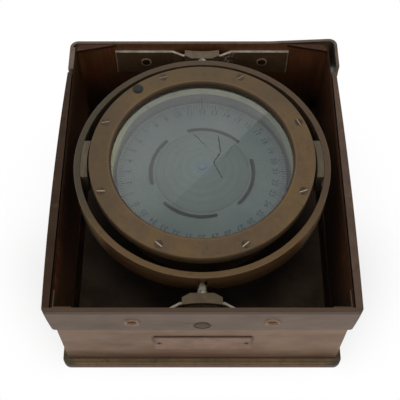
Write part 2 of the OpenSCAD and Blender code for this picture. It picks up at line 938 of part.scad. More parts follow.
// Boss on the bowl's right-hand side that holds its trunnion
module boss() {
    color(grey_metal)
        on_axes()
            difference() {
                translate([bowl_out_r - 2, 0, 0])
                    rotate([0, 90, 0]) cylinder(r = boss_r, h = trunnion_x - bowl_out_r + 2);
                translate([0, 0, -2 * boss_r])
                    cylinder(r = bowl_out_r + fit_gap, h = 4 * boss_r, $fn = 180);
                translate([trunnion_in_x, 0, 0])
                    rotate([0, 90, 0]) cylinder(r = trunnion_r + fit_gap, h = trunnion_x);
            }
}

module right_boss() {
    boss();
}

module left_boss() {
    mirror([1, 0, 0]) boss();
}

// Trunnion on the right: one end in the bowl's boss, the other in the ring's pad
module trunnion() {
    color(steel)
        on_axes()
            translate([trunnion_in_x, 0, 0])
                rotate([0, 90, 0]) cylinder(r = trunnion_r, h = ring_in_r - 0.9 - trunnion_in_x);
}

module right_trunnion() {
    trunnion();
}

module left_trunnion() {
    mirror([1, 0, 0]) trunnion();
}

module glass_gasket() {
    color("dimgray")
        on_axes()
            translate([0, 0, seat_z])
                linear_extrude(height = gasket_t) ring_2d(glass_r, bowl_in_r, $fn = 180);
}

module cover_glass() {
    color("lightblue", 0.35)
        on_axes() translate([0, 0, glass_bottom]) cylinder(r = glass_r, h = glass_t, $fn = 180);
}

module bezel_ring() {
    color(old_brass)
        on_axes()
            difference() {
                rotate_extrude($fn = 180)
                    polygon([
                        [bezel_in_r, glass_top], [glass_r, glass_top], [glass_r, bezel_bottom],
                        [bezel_r, bezel_bottom], [bezel_r, bezel_rise - 0.5],
                        [bezel_r - 0.5, bezel_rise], [bezel_in_r + 0.8, bezel_rise],
                        [bezel_in_r, bezel_rise - 1]
                    ]);
                around(screw_n, 180 / screw_n)
                    translate([screw_circle_r, 0, 0]) {
                        translate([0, 0, bezel_bottom - 1])
                            cylinder(r = screw_r + fit_gap, h = bezel_t + 2, $fn = 48);
                        translate([0, 0, bezel_rise - head_h])
                            cylinder(
                                r1 = screw_r + fit_gap, r2 = screw_head_r + fit_gap,
                                h = head_h + eps, $fn = 48
                            );
                    }
                rotate([0, 0, filler_angle])
                    translate([screw_circle_r, 0, bezel_bottom - 1])
                        cylinder(r = filler_r + fit_gap, h = bezel_t + 2, $fn = 48);
            }
}

// Countersunk slotted screw with its head's face at Z = 0; turn is the slot's direction
module bezel_screw(turn) {
    difference() {
        union() {
            translate([0, 0, -head_h]) cylinder(r1 = screw_r, r2 = screw_head_r, h = head_h, $fn = 48);
            translate([0, 0, -screw_l + 0.3])
                cylinder(r = screw_r, h = screw_l - head_h - 0.3 + eps, $fn = 48);
        }
        rotate([0, 0, turn])
            translate([-screw_head_r * 2, -slot_cut_w / 2, -slot_cut_d])
                cube([screw_head_r * 4, slot_cut_w, slot_cut_d * 2]);
    }
}

module bezel_screws() {
    color(old_brass)
        on_axes()
            for (i = [0 : screw_n - 1]) {
                a = 360 * (i + 0.5) / screw_n;
                translate([screw_circle_r * cos(a), screw_circle_r * sin(a), bezel_rise])
                    bezel_screw(screw_turns[i % len(screw_turns)]);
            }
}

// Filler plug with a low domed head
module filler_plug() {
    side_h = filler_head_h * 0.45;
    rise = filler_head_h - side_h;
    color("#3c3f3e")
        on_axes()
            rotate([0, 0, filler_angle])
                translate([screw_circle_r, 0, 0]) {
                    translate([0, 0, filler_end_z])
                        cylinder(r = filler_r, h = bezel_rise - filler_end_z + filler_washer_t, $fn = 48);
                    translate([0, 0, bezel_rise + filler_washer_t])
                        rotate_extrude($fn = 48)
                            polygon(concat(
                                [[0, 0], [filler_head_r, 0]],
                                [for (a = [0 : 15 : 90]) [filler_head_r * cos(a), side_h + rise * sin(a)]]
                            ));
                }
}

module filler_washer() {
    color("black")
        on_axes()
            rotate([0, 0, filler_angle])
                translate([screw_circle_r, 0, bezel_rise])
                    linear_extrude(height = filler_washer_t)
                        ring_2d(filler_head_r + 0.2, filler_r + fit_gap, $fn = 48);
}

module lubber_point() {
    color("black")
        on_axes()
            translate([0, card_r - lubber_over, lubber_z])
                rotate([-90, 0, 0])
                    cylinder(r = lubber_r, h = lubber_over + card_gap + lubber_seat - 0.2, $fn = 32);
}

module pivot_post() {
    color(brass)
        on_axes() {
            translate([0, 0, bowl_floor]) cylinder(r = post_foot_r, h = post_foot_t);
            translate([0, 0, bowl_floor]) cylinder(r = post_r, h = post_top - bowl_floor, $fn = 48);
            translate([0, 0, bowl_bottom - nut_t - 0.4])
                cylinder(r = stud_r, h = nut_t + 0.4 + bowl_t + eps, $fn = 48);
        }
}

module post_nut() {
    color(brass)
        on_axes()
            translate([0, 0, bowl_bottom - nut_t])
                difference() {
                    cylinder(r = nut_r, h = nut_t, $fn = 6);
                    translate([0, 0, -1]) cylinder(r = stud_r + fit_gap, h = nut_t + 2, $fn = 48);
                }
}

module pivot_needle() {
    color(steel)
        on_axes() {
            translate([0, 0, post_top]) cylinder(r = needle_r, h = tip_top - 2 - post_top, $fn = 32);
            translate([0, 0, tip_top - 2]) cylinder(r1 = needle_r, r2 = 0.1, h = 2, $fn = 32);
        }
}

// Corrugated disc that closes the expansion chamber
module diaphragm() {
    steps = 24;
    waves = 4;
    wave_h = 0.7;
    flat_r = chamber_r - 2;
    line = [for (i = [0 : steps])
        [flat_r * i / steps, wave_h * (1 - cos(360 * waves * i / steps)) / 2]];
    color(copper)
        on_axes()
            translate([0, 0, cover_top])
                difference() {
                    rotate_extrude()
                        polygon(concat(
                            line,
                            [[chamber_out_r, 0], [chamber_out_r, diaphragm_t]],
                            [for (i = [steps : -1 : 0]) line[i] + [0, diaphragm_t]]
                        ));
                    around(cover_screw_n)
                        translate([cover_circle_r, 0, -1])
                            cylinder(r = cover_screw_r + fit_gap, h = diaphragm_t + 2, $fn = 32);
                }
}

module diaphragm_cover() {
    cup_r = cover_circle_r - cover_screw_head_r - 0.4;
    color(brass)
        on_axes()
            difference() {
                rotate_extrude()
                    polygon([
                        [0, cover_bottom], [cup_r, cover_bottom], [cup_r, cover_top - cover_t],
                        [chamber_out_r, cover_top - cover_t], [chamber_out_r, cover_top],
                        [cup_r - cover_t, cover_top], [cup_r - cover_t, cover_bottom + cover_t],
                        [0, cover_bottom + cover_t]
                    ]);
                translate([0, 0, cover_bottom - 1]) cylinder(r = 1.5, h = cover_t + 2, $fn = 32);
                around(cover_screw_n)
                    translate([cover_circle_r, 0, cover_bottom])
                        cylinder(r = cover_screw_r + fit_gap, h = cover_d + 1, $fn = 32);
            }
}

module cover_screws() {
    color(steel)
        on_axes()
            around(cover_screw_n)
                translate([cover_circle_r, 0, cover_top - cover_t]) {
                    cylinder(
                        r = cover_screw_r, h = cover_t + diaphragm_t + cover_screw_l - 0.5, $fn = 32
                    );
                    translate([0, 0, -cover_screw_head_h])
                        difference() {
                            cylinder(r = cover_screw_head_r, h = cover_screw_head_h, $fn = 32);
                            translate([-2, -0.3, -eps]) cube([4, 0.6, 0.5]);
                        }
                }
}

module ballast_ring() {
    color("gray")
        on_axes()
            translate([0, 0, bowl_bottom - ballast_h])
                linear_extrude(height = ballast_h) ring_2d(ballast_r, chamber_out_r + 0.2);
}

// Card

// Children are turned to the card's heading at rest
module at_heading() {
    on_axes() rotate([0, 0, card_turn]) children();
}

// One curved slot with round ends, centred on +X
module slot_2d() {
    half = slot_span / 2;
    reach = 2 * slot_r;
    side_x = reach * cos(half);
    side_y = reach * sin(half);
    intersection() {
        ring_2d(slot_r + slot_w / 2, slot_r - slot_w / 2, $fn = 180);
        polygon([[0, 0], [side_x, -side_y], [reach, 0], [side_x, side_y]]);
    }
    for (a = [-half, half]) rotate([0, 0, a]) translate([slot_r, 0]) circle(r = slot_w / 2 + 0.05, $fn = 32);
}

module compass_card() {
    color("#707c80")
        at_heading()
            translate([0, 0, card_bottom])
                linear_extrude(height = card_t)
                    difference() {
                        circle(r = card_r, $fn = 180);
                        circle(r = dome_r - 2);
                        around(4) slot_2d();
                    }
}

// Upper shell of the float: part of a sphere, with a hole for the jewel cup's neck
module float_dome() {
    neck_r = cap_r - 0.7;
    color("#7a868a")
        at_heading()
            rotate_extrude($fn = 180)
                intersection() {
                    translate([0, dome_top - dome_sphere_r])
                        difference() {
                            circle(r = dome_sphere_r, $fn = 720);
                            circle(r = dome_sphere_r - float_t, $fn = 720);
                        }
                    translate([neck_r, card_top]) square([dome_r, dome_h]);
                }
}

// Lower shell of the float, with the sleeve that the pivot post reaches up into
module float_pan() {
    sleeve_top = cup_bottom + 1;
    color("#7a868a")
        at_heading()
            rotate_extrude()
                polygon([
                    [dome_r - 1, card_bottom], [pan_r, pan_bottom + float_t],
                    [sleeve_r + float_t, pan_bottom + float_t], [cup_r + float_t, sleeve_top],
                    [cup_r, sleeve_top], [sleeve_r, pan_bottom],
                    [pan_r + float_t, pan_bottom], [dome_r, card_bottom]
                ]);
}

module card_magnets() {
    color("dimgray")
        at_heading()
            for (place = magnet_places)
                translate([place[0], 0, magnet_z])
                    rotate([90, 0, 0])
                        cylinder(r = magnet_r, h = magnet_l * place[1], center = true, $fn = 48);
}

// Cup with a conical seat for the needle's tip
module jewel_cup() {
    neck_r = cap_r - 0.7;
    shoulder = dome_top - float_t - 0.15;
    seat_top = tip_top + tip_gap;
    color(brass)
        at_heading()
            rotate_extrude($fn = 48)
                polygon([
                    [3, cup_bottom], [cup_r, cup_bottom], [cup_r, shoulder], [neck_r, shoulder],
                    [neck_r, dome_top + 0.7], [0, dome_top + 0.7], [0, seat_top]
                ]);
}

module card_cap() {
    cap_h = 1.2;
    color(brass)
        at_heading()
            rotate_extrude($fn = 48)
                polygon([
                    [cap_r - 0.7, dome_top], [cap_r, dome_top], [cap_r, dome_top + cap_h * 0.6],
                    [cap_r - 0.5, dome_top + cap_h], [0, dome_top + cap_h], [0, dome_top + 0.7],
                    [cap_r - 0.7, dome_top + 0.7]
                ]);
}

base_board();
floor_panel();
floor_beads();
front_wall();
rear_wall();
left_wall();
right_wall();
left_band();
right_band();
rear_band();
rim_webs();
corner_angles();
front_bracket();
rear_bracket();
front_bearing_block();
rear_bearing_block();
front_pivot_screw();
rear_pivot_screw();
bracket_rivets();
rivet_washers();
nameplate();
nameplate_pins();
gimbal_ring();
left_bearing_pad();
right_bearing_pad();
bowl_shell();
bowl_flange();
chamber_ring();
left_boss();
right_boss();
left_trunnion();
right_trunnion();
glass_gasket();
cover_glass();
bezel_ring();
bezel_screws();
filler_plug();
filler_washer();
lubber_point();
pivot_post();
post_nut();
pivot_needle();
diaphragm();
diaphragm_cover();
cover_screws();
ballast_ring();
compass_card();
float_dome();
float_pan();
card_magnets();
jewel_cup();
card_cap();
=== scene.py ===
"""The marine compass as it looks: the finishes of its pieces, its markings, and the light on it."""

import math

import bmesh
import bpy
from mathutils import Matrix, Vector


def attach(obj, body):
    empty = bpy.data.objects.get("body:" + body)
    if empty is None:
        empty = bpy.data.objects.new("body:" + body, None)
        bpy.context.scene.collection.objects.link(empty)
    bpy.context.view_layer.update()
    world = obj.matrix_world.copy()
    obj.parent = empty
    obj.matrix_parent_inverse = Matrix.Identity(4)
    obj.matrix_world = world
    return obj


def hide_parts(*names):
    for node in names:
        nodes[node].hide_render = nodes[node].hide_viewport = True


MM = 0.001

# The card and its scale, in millimetres and degrees
CARD_TOP = 86.4
CARD_TURN = -15.0
SLOT_RADIUS = 39.0
ZERO_TURN = 210.0
TICK_OUT = 63.4
TICK_IN = 60.4
LONG_TICK_IN = 58.6
FIGURE_CIRCLE = 55.6
FIGURE_SIZE = 6.0
INK_RISE = 0.05

# The bezel, the glass and the bezel's screws
BEZEL_TOP = 109.0
GLASS_TOP = 104.5
SCREW_CIRCLE = 78.75
FIRST_SCREW = -22.5
SCREW_STEP = 45.0
SCREW_TURNS = (20, -65, 30, 20, 12, 0, -40, 42)
SCREW_HEAD = 3.1
HEAD_RISE = 0.22
SLOT_HALF = 0.42
CONE_RADIUS = 2.3
SHANK_RADIUS = 1.4
SHANK_END = 6.6

# The gimbal ring's inner wall and its right pad
RING_IN = 90.6
PAD_END_TURN = 9.0
SOLDER_TOP = 100.6
SOLDER_DROP = 8.6

# The front wall, its plate and its stamped mark
BAND_Z = 64.5
STAMP_Z = 73.2
PLATE_X = 0.5
PIN_X = 32.1
PIN_Z = 39.0

# The places of a colour mix's share, of its two colours and of its result
MIX_SHARE, MIX_LOW, MIX_HIGH, MIX_RESULT = 0, 6, 7, 2

# A dull surface's share of mirror-like reflection
DULL = 0.2

# The lit panel, in metres: its height, glow, near edge in plan, and how far it goes on from that edge
SOFTBOX_Z = 1.2
SOFTBOX_GLOW = 1.0
SOFTBOX_EDGE = (Vector((-0.0584, 0.588)), Vector((0.1185, 0.7887)))
SOFTBOX_PAST_ENDS = 0.35
SOFTBOX_DEPTH = 0.75

FLOOR_HALF = 3.0

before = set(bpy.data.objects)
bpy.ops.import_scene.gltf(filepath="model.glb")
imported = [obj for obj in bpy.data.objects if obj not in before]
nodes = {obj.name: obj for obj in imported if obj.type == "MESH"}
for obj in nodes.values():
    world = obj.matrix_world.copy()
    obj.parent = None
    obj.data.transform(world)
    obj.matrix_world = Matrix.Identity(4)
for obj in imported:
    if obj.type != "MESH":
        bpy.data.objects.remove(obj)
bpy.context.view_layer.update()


# Values in a material

class Value:
    """A value inside a material. Sums, products and limits of values are values too."""

    def __init__(self, finish, socket):
        self.finish = finish
        self.socket = socket

    def math(self, operation, *others):
        """This value and the others, put together by a named operation."""
        return self.finish.math(operation, self, *others)

    def __add__(self, other):
        return self.math("ADD", other)

    def __radd__(self, other):
        return self.finish.math("ADD", other, self)

    def __sub__(self, other):
        return self.math("SUBTRACT", other)

    def __rsub__(self, other):
        return self.finish.math("SUBTRACT", other, self)

    def __mul__(self, other):
        return self.math("MULTIPLY", other)

    def __rmul__(self, other):
        return self.finish.math("MULTIPLY", other, self)

    def __truediv__(self, other):
        return self.math("DIVIDE", other)

    def __pow__(self, other):
        return self.math("POWER", other)

    def __abs__(self):
        return self.math("ABSOLUTE")

    def __mod__(self, other):
        return self.math("FLOORED_MODULO", other)

    def clip(self):
        """Kept between 0 and 1."""
        return self.finish.node("ShaderNodeClamp", {"Value": self}, "Result")

    def rise(self, start, end):
        """0 before start, 1 after end, smooth between them; start may be the larger."""
        return self.finish.node(
            "ShaderNodeMapRange",
            {"Value": self, "From Min": start, "From Max": end, "To Min": 0.0, "To Max": 1.0},
            "Result", interpolation_type="SMOOTHSTEP",
        )

    def near(self, centre, width):
        """1 at centre, falling to 0 at width from it."""
        return abs(self - centre).rise(width, 0.0)


class Finish:
    """A material under construction."""

    def __init__(self, name):
        self.material = bpy.data.materials.new(name)
        self.material.use_nodes = True
        self.tree = self.material.node_tree
        self.tree.nodes.clear()
        self.saved = {}

    def plug(self, value, socket):
        """Gives a socket its value, number or colour."""
        if isinstance(value, Value):
            self.tree.links.new(value.socket, socket)
        elif socket.type == "RGBA":
            socket.default_value = (*value, 1.0)
        else:
            socket.default_value = value

    def node(self, kind, inputs=None, output=0, **settings):
        """One node of any kind, by its settings and what its inputs take; gives one of its outputs."""
        made = self.tree.nodes.new(kind)
        for key, value in settings.items():
            setattr(made, key, value)
        for key, value in (inputs or {}).items():
            self.plug(value, made.inputs[key])
        return Value(self, made.outputs[output])

    def math(self, operation, *values):
        """Values put together by a named operation."""
        made = self.tree.nodes.new("ShaderNodeMath")
        made.operation = operation
        for value, socket in zip(values, made.inputs):
            self.plug(value, socket)
        return Value(self, made.outputs[0])

    def split(self, vector):
        """A vector's x, y and z."""
        made = self.tree.nodes.new("ShaderNodeSeparateXYZ")
        self.plug(vector, made.inputs[0])
        return {axis: Value(self, made.outputs[i]) for i, axis in enumerate("xyz")}

    def at(self, stretch=(1.0, 1.0, 1.0)):
        """The point's own place on its piece, in metres, stretched along each axis."""
        if "object" not in self.saved:
            self.saved["object"] = self.node("ShaderNodeTexCoord", output="Object")
        if stretch == (1.0, 1.0, 1.0):
            return self.saved["object"]
        return self.node("ShaderNodeVectorMath", {0: self.saved["object"], 1: stretch}, operation="MULTIPLY")

    def along(self, axis):
        """The point's x, y or z, in metres."""
        if "xyz" not in self.saved:
            self.saved["xyz"] = self.split(self.at())
        return self.saved["xyz"][axis]

    def from_middle(self):
        """The point's distance from the vertical middle line, in metres."""
        x, y = self.along("x"), self.along("y")
        return (x * x + y * y) ** 0.5

    def near_slots(self):
        """1 along the card's four curved slots and 0 between them."""
        turn = self.along("y").math("ARCTAN2", self.along("x")) - math.radians(CARD_TURN)
        quarter = math.pi / 2
        from_slot = abs((turn + quarter / 2) % quarter - quarter / 2)
        return from_slot.rise(math.radians(31.0), math.radians(27.0))

    def facing(self, axis):
        """How far the piece's own surface faces along x, y or z, from -1 to 1."""
        if "facing" not in self.saved:
            turned = self.node(
                "ShaderNodeVectorTransform",
                {"Vector": self.node("ShaderNodeNewGeometry", output="Normal")},
                vector_type="NORMAL", convert_from="WORLD", convert_to="OBJECT",
            )
            self.saved["facing"] = self.split(turned)
        return self.saved["facing"][axis]

    def cloud(self, per_mm, detail=3.0, stretch=(1.0, 1.0, 1.0), shift=0.0):
        """Soft irregular patches, about 0 to 1; per_mm patches to the millimetre."""
        return self.node(
            "ShaderNodeTexNoise",
            {"Vector": self.at(stretch), "W": shift, "Scale": per_mm / MM, "Detail": detail,
             "Roughness": 0.55},
            "Fac", noise_dimensions="4D",
        )

    def spots(self, per_mm, size, shift=0.0):
        """Small round marks, 1 at their middle and 0 outside, size as a share of their spacing."""
        far = self.node(
            "ShaderNodeTexVoronoi", {"Vector": self.at(), "W": shift, "Scale": per_mm / MM},
            "Distance", voronoi_dimensions="4D",
        )
        return far.rise(size, size * 0.4)

    def blend(self, low, high, share, way="MIX"):
        """A colour between two, by share."""
        made = self.tree.nodes.new("ShaderNodeMix")
        made.data_type = "RGBA"
        made.blend_type = way
        for place, value in ((MIX_SHARE, share), (MIX_LOW, low), (MIX_HIGH, high)):
            self.plug(value, made.inputs[place])
        return Value(self, made.outputs[MIX_RESULT])

    def dimmed(self, colour, share):
        """The colour times a share, for dirt, wear and painted shade."""
        grey = self.node("ShaderNodeCombineColor", {"Red": share, "Green": share, "Blue": share})
        return self.blend(colour, grey, 1.0, "MULTIPLY")

    def bumps(self, height, depth_mm):
        """The surface's direction, as a relief of that depth gives it."""
        return self.node("ShaderNodeBump", {"Height": height, "Distance": depth_mm * MM, "Strength": 1.0})

    def surface(self, **inputs):
        """The plain shader of the material; names are those of its inputs, with _ for a space."""
        shader = self.tree.nodes.new("ShaderNodeBsdfPrincipled")
        for key, value in inputs.items():
            self.plug(value, shader.inputs[key.replace("_", " ")])
        return Value(self, shader.outputs[0])

    def done(self, shader):
        """Ends the material with this shader, and gives the material."""
        out = self.tree.nodes.new("ShaderNodeOutputMaterial")
        self.tree.links.new(shader.socket, out.inputs["Surface"])
        return self.material


def srgb(red, green, blue):
    """A colour from its display values, 0 to 255."""
    return tuple(
        c / 255 / 12.92 if c <= 10 else ((c / 255 + 0.055) / 1.055) ** 2.4 for c in (red, green, blue)
    )


def wear(finish, *names):
    """Puts a finish on these pieces of the model."""
    for name in names:
        mesh = nodes[name].data
        mesh.materials.clear()
        mesh.materials.append(finish)


# Finishes

def patina(name, base, dark, light, patch=0.08, metallic=0.55, stretch=(1.0, 1.0, 1.0), shift=0.0,
           relief=0.06, edge=None, end_x=None):
    """Old brass or bronze: brown patches, darker stains, paler rubbed spots and a fine grain.
    edge is a height in mm and the paler colour painted above it: a painted highlight along the top edge,
    patchy like wear. end_x is the distance in mm from the middle to its two ends, where that painted
    highlight runs down them too."""
    f = Finish(name)
    wide = f.cloud(patch, 4.0, stretch, shift).rise(0.3, 0.7)
    stains = f.cloud(patch * 2.3, 5.0, stretch, shift + 3.0).rise(0.55, 0.75)
    rubbed = f.cloud(patch * 3.1, 3.0, stretch, shift + 7.0).rise(0.58, 0.78)
    fine = f.cloud(0.9, 2.0, stretch, shift + 11.0)
    colour = f.blend(base, dark, stains * 0.75)
    colour = f.blend(colour, light, rubbed * 0.7)
    # Painted highlight: the edge colour along the top edge, and down the two ends when end_x is given, patchy
    # like wear, with pale speckles there too.
    if edge is not None:
        edge_z, highlight_and_wear_colour = edge
        top = f.along("z").rise((edge_z - 0.5) * MM, edge_z * MM)
        if end_x is not None:
            ends = abs(f.along("x")).rise((end_x - 1.4) * MM, (end_x - 0.6) * MM)
            top = top.math("MAXIMUM", ends * 0.5)
        worn = top * (0.45 + rubbed * 0.25 + wide * 0.3)
        if end_x is not None:
            where = f.along("x").near(0.020, 0.012) * f.along("z").rise(0.072, 0.084)
            speckles = f.cloud(0.5, 4.0, shift=shift + 15.0).rise(0.50, 0.64)
            worn = worn.math("MAXIMUM", where * speckles * 0.7)
        colour = f.blend(colour, highlight_and_wear_colour, worn)
    share = 0.82 + wide * 0.28 + (fine - 0.5) * 0.35
    height = fine * 0.4 + f.cloud(patch * 4.0, 4.0, stretch, shift + 5.0)
    return f.done(f.surface(
        Base_Color=f.dimmed(colour, share), Metallic=metallic, Roughness=0.45 + (fine - 0.5) * 0.25,
        Specular_IOR_Level=DULL, Normal=f.bumps(height, relief),
    ))


def front_face():
    """The folded front: a greyer upper part, a pinker rubbed lower part, level brush lines and stains, with
    painted shade towards the bottom and in the top of the stamped mark, and a painted highlight line below
    the rim.
    """
    f = Finish("rubbed_front")
    x, z = f.along("x"), f.along("z")
    plate_x = x - PLATE_X * MM
    wave = (f.cloud(0.02, 2.0, shift=1.0) - 0.5) * 0.004
    upper = (z + wave).rise(BAND_Z * MM - 0.0006, BAND_Z * MM + 0.0006)
    streak = f.cloud(0.45, 4.0, (0.05, 1.0, 1.0), 2.0)
    brushed = f.cloud(1.6, 2.0, (0.03, 1.0, 1.0), 12.0)
    patch = f.cloud(0.035, 4.0, (0.7, 1.0, 1.4), 4.0)
    fine = f.cloud(1.1, 2.0, shift=6.0)
    mauve = f.blend(srgb(108, 90, 77), srgb(96, 80, 68), patch.rise(0.35, 0.65))
    pink = f.blend(srgb(127, 103, 83), srgb(113, 89, 70), patch.rise(0.38, 0.68))
    colour = f.blend(pink, mauve, upper)
    stain = f.cloud(0.09, 5.0, (0.5, 1.0, 1.0), 9.0).rise(0.56, 0.74)
    colour = f.blend(colour, srgb(84, 64, 48), stain * 0.5)
    under_plate = x.near(0.0, 0.075) * z.rise(0.034, 0.018)
    colour = f.blend(colour, srgb(116, 84, 67), under_plate * 0.6)
    share = 0.92 + x.rise(-0.06, 0.10) * 0.10 + (streak - 0.5) * 0.62 + (brushed - 0.5) * 0.70
    # Darker towards the bottom: painted shade above the base.
    share = share + (fine - 0.5) * 0.14 - z.rise(0.024, 0.009) * 0.20
    colour = f.dimmed(colour, share)
    line = (z + wave).near(BAND_Z * MM, 0.0007) * x.near(0.002, 0.055)
    colour = f.blend(colour, srgb(76, 60, 48), line * 0.65)
    from_stamp = ((x * x) + (z - STAMP_Z * MM) ** 2.0) ** 0.5
    smudge = f.cloud(0.5, 4.0, shift=14.0).rise(0.36, 0.62)
    # The stamped mark, darker in its upper part: painted shade in the top of its recess, over its own smudge.
    stamp_and_shade = from_stamp.rise(0.0072, 0.0058) * (0.55 + z.rise(0.072, 0.076) * 0.25 + smudge * 0.2)
    colour = f.blend(colour, srgb(66, 44, 28), stamp_and_shade)
    over_plate = z.near(0.0524, 0.0017) * abs(plate_x).rise(0.038, 0.035) * (0.6 + smudge * 0.8)
    beside_plate = abs(abs(plate_x) - 0.0368).rise(0.0011, 0.0) * z.rise(0.036, 0.046)
    beside_plate = beside_plate * z.rise(0.0525, 0.0515)
    colour = f.blend(colour, srgb(74, 52, 38), (over_plate * 0.5).math("MAXIMUM", beside_plate * 0.7))
    colour = f.blend(colour, srgb(74, 56, 42), (z + wave * 0.5).rise(0.0932, 0.0944) * 0.85)
    # A pale line just below the rim's brown band: a painted highlight.
    colour = f.blend(colour, srgb(128, 110, 98), (z + wave * 0.5).near(0.0925, 0.0008) * 0.4)
    rim = f.facing("z").rise(0.5, 0.9) * z.rise(0.0950, 0.0972)
    colour = f.blend(colour, f.dimmed(srgb(74, 57, 45), 0.62 + streak * 0.76), rim)
    colour = f.blend(colour, srgb(34, 23, 15), f.facing("y").rise(0.2, 0.8))
    return f.done(f.surface(
        Base_Color=colour, Metallic=0.3 + stamp_and_shade * 0.6, Roughness=0.52 + (streak - 0.5) * 0.2,
        Specular_IOR_Level=DULL, Normal=f.bumps(streak + fine * 0.3 + brushed * 0.4, 0.05),
    ))


def lacquer(name, base, low, seed, shine=0.35, lip_colour=srgb(16, 10, 6)):
    """Dark, red-brown and glossy, with long vertical streaks and painted sheen streaks near the front; its
    colour changes with height, painted light, mostly shade towards the floor.
    """
    f = Finish(name)
    y, z = f.along("y"), f.along("z")
    patch = f.cloud(0.05, 4.0, shift=seed)
    fine = f.cloud(0.7, 3.0, shift=seed + 2.0)
    runs = f.cloud(0.35, 5.0, (1.0, 1.0, 0.09), seed + 5.0)
    # Painted light: the colour goes from low near the floor to base higher up; on the right and rear walls
    # this is painted shade towards the floor, on the left wall a painted lift.
    colour = f.blend(low, base, z.rise(0.015, 0.080))
    near_front = y.rise(-0.035, -0.105)
    # Painted sheen: bright orange streaks high up near the front.
    sheen_streaks = runs.rise(0.52, 0.66) * near_front * z.rise(0.03, 0.09)
    colour = f.blend(colour, srgb(128, 68, 34), sheen_streaks * 0.7)
    reddish = f.cloud(0.03, 3.0, shift=seed + 8.0).rise(0.52, 0.7)
    colour = f.blend(colour, srgb(96, 42, 24), reddish * 0.45)
    lip = z.rise(0.0945, 0.0955) * f.facing("z").rise(0.2, 0.7)
    colour = f.blend(colour, lip_colour, lip)
    share = 0.80 + patch * 0.3 + (fine - 0.5) * 0.5 + (runs - 0.5) * 1.4
    return f.done(f.surface(
        Base_Color=f.dimmed(colour, share), Metallic=lip, Roughness=0.36 + (fine - 0.5) * 0.3,
        Specular_IOR_Level=shine, Normal=f.bumps(patch + fine * 0.3, 0.15),
    ))


def dirty_floor():
    """The sheet under the bowl: dull dark brown with scattered pale specks, and painted shade right under the
    bowl.
    """
    f = Finish("dirty_floor")
    patch = f.cloud(0.04, 4.0, shift=8.0)
    fine = f.cloud(0.8, 3.0, shift=9.0)
    colour = f.blend(srgb(87, 72, 57), srgb(68, 55, 43), patch.rise(0.35, 0.65))
    colour = f.blend(colour, srgb(150, 142, 128), f.spots(0.040, 0.045, 3.0) * 0.8)
    colour = f.blend(colour, srgb(110, 96, 80), f.spots(0.11, 0.06, 7.0) * 0.6)
    # Painted shade: darker right under the bowl.
    shade_under_bowl = f.from_middle().rise(0.110, 0.075)
    share = (0.85 + (fine - 0.5) * 0.7) * (1.0 - shade_under_bowl * 0.80)
    return f.done(f.surface(
        Base_Color=f.dimmed(colour, share), Roughness=0.6 + (fine - 0.5) * 0.2,
        Specular_IOR_Level=0.1, Normal=f.bumps(fine, 0.06),
    ))


def plate_face():
    """The bare plate, darker along its top and side edges and round its pins."""
    f = Finish("bare_plate")
    x, z = f.along("x") - PLATE_X * MM, f.along("z")
    brushed = f.cloud(1.2, 4.0, (0.12, 1.0, 1.0), 3.0)
    patch = f.cloud(0.06, 4.0, shift=5.0)
    colour = f.blend(srgb(132, 103, 84), srgb(115, 87, 69), patch.rise(0.4, 0.7))
    stains = f.cloud(0.18, 4.0, (0.4, 1.0, 1.0), 7.0).rise(0.54, 0.7)
    colour = f.blend(colour, srgb(104, 74, 62), stains * 0.5)
    ragged = (f.cloud(0.35, 4.0, shift=8.0) - 0.5) * 0.0022
    edge = (z + ragged).rise(0.0484, 0.0502)
    sides = (abs(x) + ragged).rise(0.0340, 0.0352) * z.rise(0.032, 0.044)
    from_pins = (((abs(x) - PIN_X * MM) ** 2.0) + (z - PIN_Z * MM) ** 2.0) ** 0.5
    # Darker along the top and side edges and round the pins.
    dirt = edge.math("MAXIMUM", sides * 0.8).math("MAXIMUM", from_pins.rise(0.0034, 0.0016) * 0.7)
    colour = f.blend(colour, srgb(76, 56, 44), dirt * 0.85)
    share = 0.92 + (brushed - 0.5) * 1.15
    return f.done(f.surface(
        Base_Color=f.dimmed(colour, share), Metallic=0.3, Roughness=0.5, Specular_IOR_Level=DULL,
        Normal=f.bumps(brushed, 0.04),
    ))


def clear_pane():
    """The cover glass: see-through, a sharp reflection on top and a faint haze of dust and scratches, heavier
    at the left and right and lighter in front as a painted reflection.
    """
    f = Finish("hazy_glass")
    clear = f.node("ShaderNodeBsdfTransparent", {"Color": (0.90, 0.94, 0.93)})
    mirror = f.node("ShaderNodeBsdfGlossy", {"Color": (1.0, 1.0, 1.0), "Roughness": 0.01})
    dust = f.node("ShaderNodeBsdfDiffuse", {"Color": srgb(200, 206, 204)})
    bend = f.node("ShaderNodeFresnel", {"IOR": 1.5})
    back = f.node("ShaderNodeNewGeometry", output="Backfacing")
    up = f.facing("z").rise(0.5, 0.9) * (1.0 - back)
    patch = f.cloud(0.04, 4.0, shift=2.0)
    x, y = f.along("x"), f.along("y")
    # Painted reflection: more haze at the left and right and less in front, on top of the even dust.
    sides = x.rise(-0.020, -0.055) * 0.036 + x.rise(0.025, 0.060) * 0.020
    front = y.rise(-0.030, -0.060) * 0.028
    haze = (0.031 + (patch - 0.5) * 0.03 + sides - front).clip() * up
    body = f.node("ShaderNodeMixShader", {0: haze, 1: clear, 2: dust})
    return f.done(f.node("ShaderNodeMixShader", {0: bend * up, 1: body, 2: mirror}))


